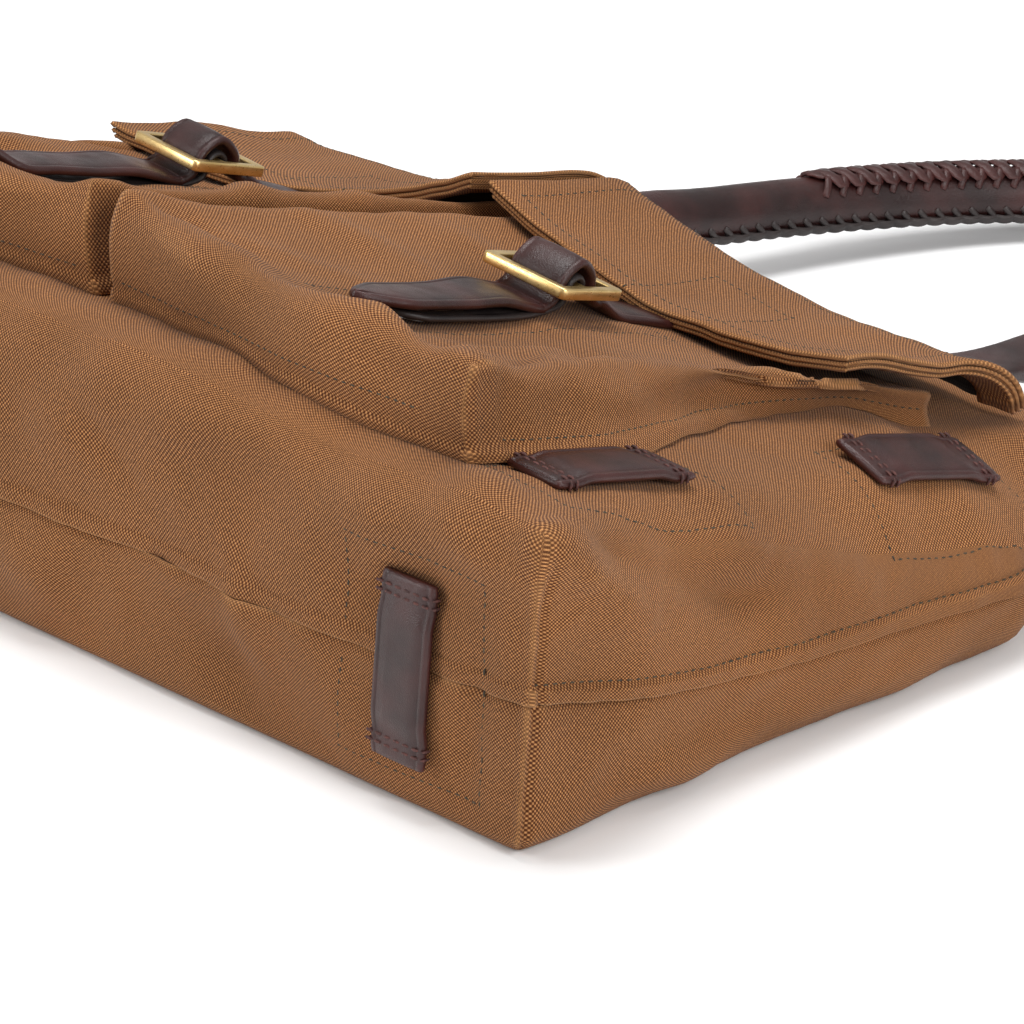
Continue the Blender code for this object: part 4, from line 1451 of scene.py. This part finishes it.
def make_whip_stitch(name, body, place_at, start, end):
    """The scalloped seam along the handle's lower side, whipped with leather lace."""
    bm = bmesh.new()
    pitch = 7.6
    low, wide = (radians(-56), radians(24)) if name == "back" else (radians(-124), radians(-24))
    run = start
    while run < end:
        points, outs = [], []
        for t in steps(-0.62, 0.62, 10):
            angle = low + wide * t * 1.5
            bulge = 1.6 * cos(t * pi * 0.8) - 0.5
            spot = place_at(run + t * pitch * 0.95, angle, bulge)
            points.append(spot)
            outs.append((spot - place_at(run + t * pitch * 0.95, angle, -6)).normalized())
        cord_along(bm, points, 1.25, 0.8, outs)
        run += pitch
    run = start - 3
    scallops, tips = [], []
    while run < end + 3:
        lift = 0.9 + 0.9 * abs(sin(pi * (run - start) / pitch))
        spot = place_at(run, low, lift)
        scallops.append(spot)
        tips.append((spot - place_at(run, low, -6)).normalized())
        run += 1.3
    cord_along(bm, scallops, 2.1, 1.3, tips)
    made = to_object("handle_seam_" + name, bm, edge_leather)
    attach(made, body)


def make_plait(name, body, place_at, start, end):
    """Three laces plaited along the top of the handle, and the loops that hold them down."""
    bm = bmesh.new()
    period = 23.0
    swing = radians(50)
    tilt = radians(14)
    for strand in range(3):
        phase = 2 * pi * strand / 3
        points, outs = [], []
        run = start
        while run < end:
            turn = 2 * pi * (run - start) / period + phase
            fade = ease(min(run - start, end - run), -2, 9)
            angle = tilt + swing * sin(turn) * fade
            height = 1.1 + 1.15 * (1 + sin(2 * turn + 0.4)) / 2 * fade
            spot = place_at(run, angle, height)
            points.append(spot)
            outs.append((spot - place_at(run, angle, -6)).normalized())
            run += 1.5
        cord_along(bm, points, 2.7, 1.0, outs)
    run = start + 3
    while run < end - 3:
        for edge in (1, -1):
            points, outs = [], []
            for t in steps(0, 1, 7):
                angle = tilt + edge * (radians(36) + radians(36) * t)
                height = 1.9 * cos(t * pi / 2 * 1.12) + 0.1
                spot = place_at(run + 3.4 * (t - 0.5) * edge, angle, height)
                points.append(spot)
                outs.append((spot - place_at(run, angle, -6)).normalized())
            cord_along(bm, points, 1.5, 0.8, outs)
        run += period / 3
    made = to_object("handle_plait_" + name, bm, leather)
    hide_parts("handle_wrap_" + name)
    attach(made, body)


# Mouth


def refine(node_name, material, width=0.35):
    """A bevelled copy of a metal CAD node, to stand for it."""
    cad = frame["nodes"][node_name]
    mesh = cad.data.copy()
    made = bpy.data.objects.new(node_name + "_fine", mesh)
    bpy.context.scene.collection.objects.link(made)
    mesh.materials.clear()
    mesh.materials.append(material)
    bm = bmesh.new()
    bm.from_mesh(mesh)
    bmesh.ops.remove_doubles(bm, verts=bm.verts, dist=0.00001)
    bmesh.ops.dissolve_limit(bm, angle_limit=radians(1), verts=bm.verts, edges=bm.edges)
    bm.to_mesh(mesh)
    bm.free()
    soft = made.modifiers.new("Worn edges", "BEVEL")
    soft.width = width * MM
    soft.segments = 2
    soft.limit_method = "ANGLE"
    soft.angle_limit = radians(40)
    freeze(made)
    made.data.shade_smooth()
    made.data.set_sharp_from_angle(angle=radians(35))
    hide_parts(node_name)
    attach(made, cad["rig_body"])
    return made


def make_tape(side):
    """A zip tape: woven cloth from the canvas edge down to its row of brass teeth."""
    front = side == "front"
    body = "mouth_front" if front else "root"
    top = (291, 45.5) if front else (291, 21.6)
    path = [Vector((0, y, z)) for y, z in (top, (295, top[1] - 0.6 if front else top[1] + 0.4))]
    sign = 1 if front else -1
    path += [Vector((0, 297.4, 32 + sign * 6.4)), Vector((0, 297.2, 32 + sign * 1.3))]
    path = smooth_path(path, 5)
    bm = bmesh.new()

    def place(x, j):
        ripple = 0.35 * noise.noise(Vector((x / 11, j / 3, 4.2 + sign)))
        spot = path[j]
        return Vector((x, spot.y + ripple, spot.z))

    add_grid(bm, steps(-167, 167, 120), list(range(len(path))), place, lambda x, j: (x * MM, j * MM))
    made = to_object("zip_cloth_" + side, bm, tape_cloth, up=Vector((0, 1, 0)))
    thicken(made, 0.9, 0)
    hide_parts("zip_tape_" + side)
    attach(made, body)
    bm = bmesh.new()
    pitch = 2.6
    for i in range(round(2 * 165 / pitch)):
        x = -165 + pitch * i + (pitch / 2 if front else 0)
        tooth(bm, Vector((x, 297.2, 32 + sign * 0.75)), sign)
    teeth = to_object("zip_teeth_" + side, bm, brass, smooth=False)
    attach(teeth, body)


def tooth(bm, centre, sign):
    """One tooth: a clasp round the tape's edge with a narrower tip."""
    rings = []
    for z, wide, deep in ((1.5, 0.85, 1.25), (0.5, 1.0, 1.5), (-0.3, 0.9, 1.3), (-1.0, 0.5, 0.9)):
        ring = []
        for a, b in ((1, 1), (-1, 1), (-1, -1), (1, -1)):
            ring.append(bm.verts.new(world(centre + Vector((a * wide, b * deep, sign * z)))))
        rings.append(ring)
    for low, high in zip(rings, rings[1:]):
        for k in range(4):
            n = (k + 1) % 4
            bm.faces.new((low[k], low[n], high[n], high[k]))
    bm.faces.new(rings[0][::-1])
    bm.faces.new(rings[-1])


def make_linings():
    """The dark cotton inside the bag, hanging a little inside the canvas."""
    for front in (True, False):
        bm = bmesh.new()
        side_name = "front" if front else "back"
        end = 286
        ys = steps(7, end, 60)
        us = steps(-1, 1, 80)
        shares = steps(0.03, 1, 10)

        def inner(u, y, share):
            point = body_place(u * along(HALF_WIDTHS, y), y, share, front)
            seam = seam_height(point.x, y)
            z = seam + (point.z - seam) * (0.9 if share > 0.5 else 0.97)
            limit = 7.5 if front else 8.5
            gap = front_height(point.x, y) - limit if front else back_height(point.x, y) + 5.0
            z = min(z, gap) if front else max(z, gap)
            return Vector((point.x * 0.972, point.y, z))

        def face(u, y):
            return inner(u, y, 1)

        def bottom(u, share):
            return inner(u, ys[0], share)

        add_grid(bm, us, ys, face, lambda u, y: (u * 0.2, y * MM))
        add_grid(bm, us, shares, bottom, lambda u, s: (u * 0.2, -0.05 * (1 - s)))
        for sign in (-1, 1):

            def wall(y, share):
                return inner(sign, y, share)

            add_grid(bm, ys, shares, wall, lambda y, s: (sign * (0.2 + 0.05 * (1 - s)), y * MM))
        made = to_object("inner_" + side_name, bm, lining, centre=(0, 140, 34))

        def sag(place, normal):
            return 1.3 * noise.noise(place / 30) - 1.6

        displace(made, sag)
        thicken(made, 0.8, -1)
        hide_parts(side_name + "_lining")
        if front:
            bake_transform(made)
        else:
            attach(made, "root")


def make_body_stitches():
    """Rows beside the side seams, and the mouth's hems."""
    bm = bmesh.new()
    tree = front_tree_and_back
    for sign in (-1, 1):
        points = []
        for y in steps(2, 262, 110):
            z = seam_height(sign * 219, y) + FELL + 0.9
            points.append((sign * (along(HALF_WIDTHS, y) + 4), y, z))
        add_stitches(bm, on_cloth(tree, points, (-sign, 0, 0)), *SEAM_STITCH)
    finish_stitches(bm, "seam_stitches", thread, "root")
    for side, tree, way in (("front", front_tree, -1), ("back", back_tree, 1)):
        bm = bmesh.new()
        for y in (281, 295):
            points = []
            for x in steps(-186, 186, 120):
                z = front_height(x, y) if side == "front" else back_height(x, y)
                points.append((x, y, z))
            add_stitches(bm, on_cloth(tree, points, (0, 0, way)), *SEAM_STITCH)
        if side == "front":
            blended = ("root", "mouth_front", *MOUTH_TURN)
            finish_stitches(bm, "hem_stitches_front", thread, "mouth_front", blended)
        else:
            finish_stitches(bm, "hem_stitches_back", thread, "root")


def make_mouth():
    for side in ("front", "back"):
        make_tape(side)
        refine("frame_bar_" + side, steel)
    for side in ("left", "right"):
        refine("frame_pin_" + side, steel, 0.3)
        refine("zip_end_" + side, leather, 0.6)
    refine("zip_slider", brass, 0.3)
    refine("zip_puller", brass, 0.5)


# Putting it together

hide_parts("front_panel", "front_band")
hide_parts("back_panel")
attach(back_canvas, "root")
front_tree_and_back = joined_tree(front_canvas, back_canvas)
for name, sign in (("left", -1), ("right", 1)):
    make_pocket(name, sign)
    make_flap(name, sign)
    make_strap(name, sign)
    make_buckle(name, sign)
MOUTH_TURN = (world((0, 256, 32)), world((0, 280, 32)))
make_loops()
make_linings()
make_body_stitches()
make_mouth()
make_handle("front")
make_handle("back")
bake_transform(front_canvas)


# Camera, lights and floor


def make_stage():
    floor = bpy.data.meshes.new("floor")
    bm = bmesh.new()
    bmesh.ops.create_grid(bm, x_segments=1, y_segments=1, size=6)
    bm.to_mesh(floor)
    bm.free()
    plane = bpy.data.objects.new("floor", floor)
    plane.location.z = -0.0004
    bpy.context.scene.collection.objects.link(plane)
    paper, _, shader = nodes_of("floor_paper", 0.7)
    shader.inputs["Base Color"].default_value = (0.93, 0.93, 0.93, 1)
    shader.inputs["Specular IOR Level"].default_value = 0.2
    floor.materials.append(paper)

    scene = bpy.context.scene
    scene.view_settings.view_transform = "Standard"
    surroundings = bpy.data.worlds.new("studio")
    surroundings.use_nodes = True
    background = surroundings.node_tree.nodes["Background"]
    background.inputs["Color"].default_value = (1, 1, 1, 1)
    background.inputs["Strength"].default_value = 0.5
    scene.world = surroundings

    middle = world((60, 120, 50))
    for name, place, size, power in (
        ("key", (-0.1, 0.1, 1.6), 0.9, 21),
        ("fill", (-0.9, -1.3, 0.7), 0.7, 12),
        ("side", (1.5, -0.3, 0.8), 0.7, 16),
    ):
        light = bpy.data.lights.new(name, "AREA")
        light.energy = power
        light.size = size
        lamp = bpy.data.objects.new(name, light)
        lamp.location = middle + Vector(place)
        lamp.rotation_euler = (-Vector(place)).to_track_quat("-Z", "Y").to_euler()
        scene.collection.objects.link(lamp)

    azimuth, elevation, roll = radians(45.6), radians(21.6), radians(1.0)
    target = world((123.6, 88.5, 52.8))
    back = Vector(
        (sin(azimuth) * cos(elevation), -cos(azimuth) * cos(elevation), sin(elevation))
    )
    right = Vector((cos(azimuth), sin(azimuth), 0))
    up = back.cross(right)
    turned_right = right * cos(roll) + up * sin(roll)
    turned_up = up * cos(roll) - right * sin(roll)
    lens = bpy.data.cameras.new("camera")
    lens.sensor_width = 36
    lens.lens = 36 * 4670.3 / 1024
    camera = bpy.data.objects.new("camera", lens)
    turn = Matrix((turned_right, turned_up, back)).transposed()
    camera.matrix_world = Matrix.Translation(target + back * 1.4037) @ turn.to_4x4()
    scene.collection.objects.link(camera)
    scene.camera = camera


make_stage()
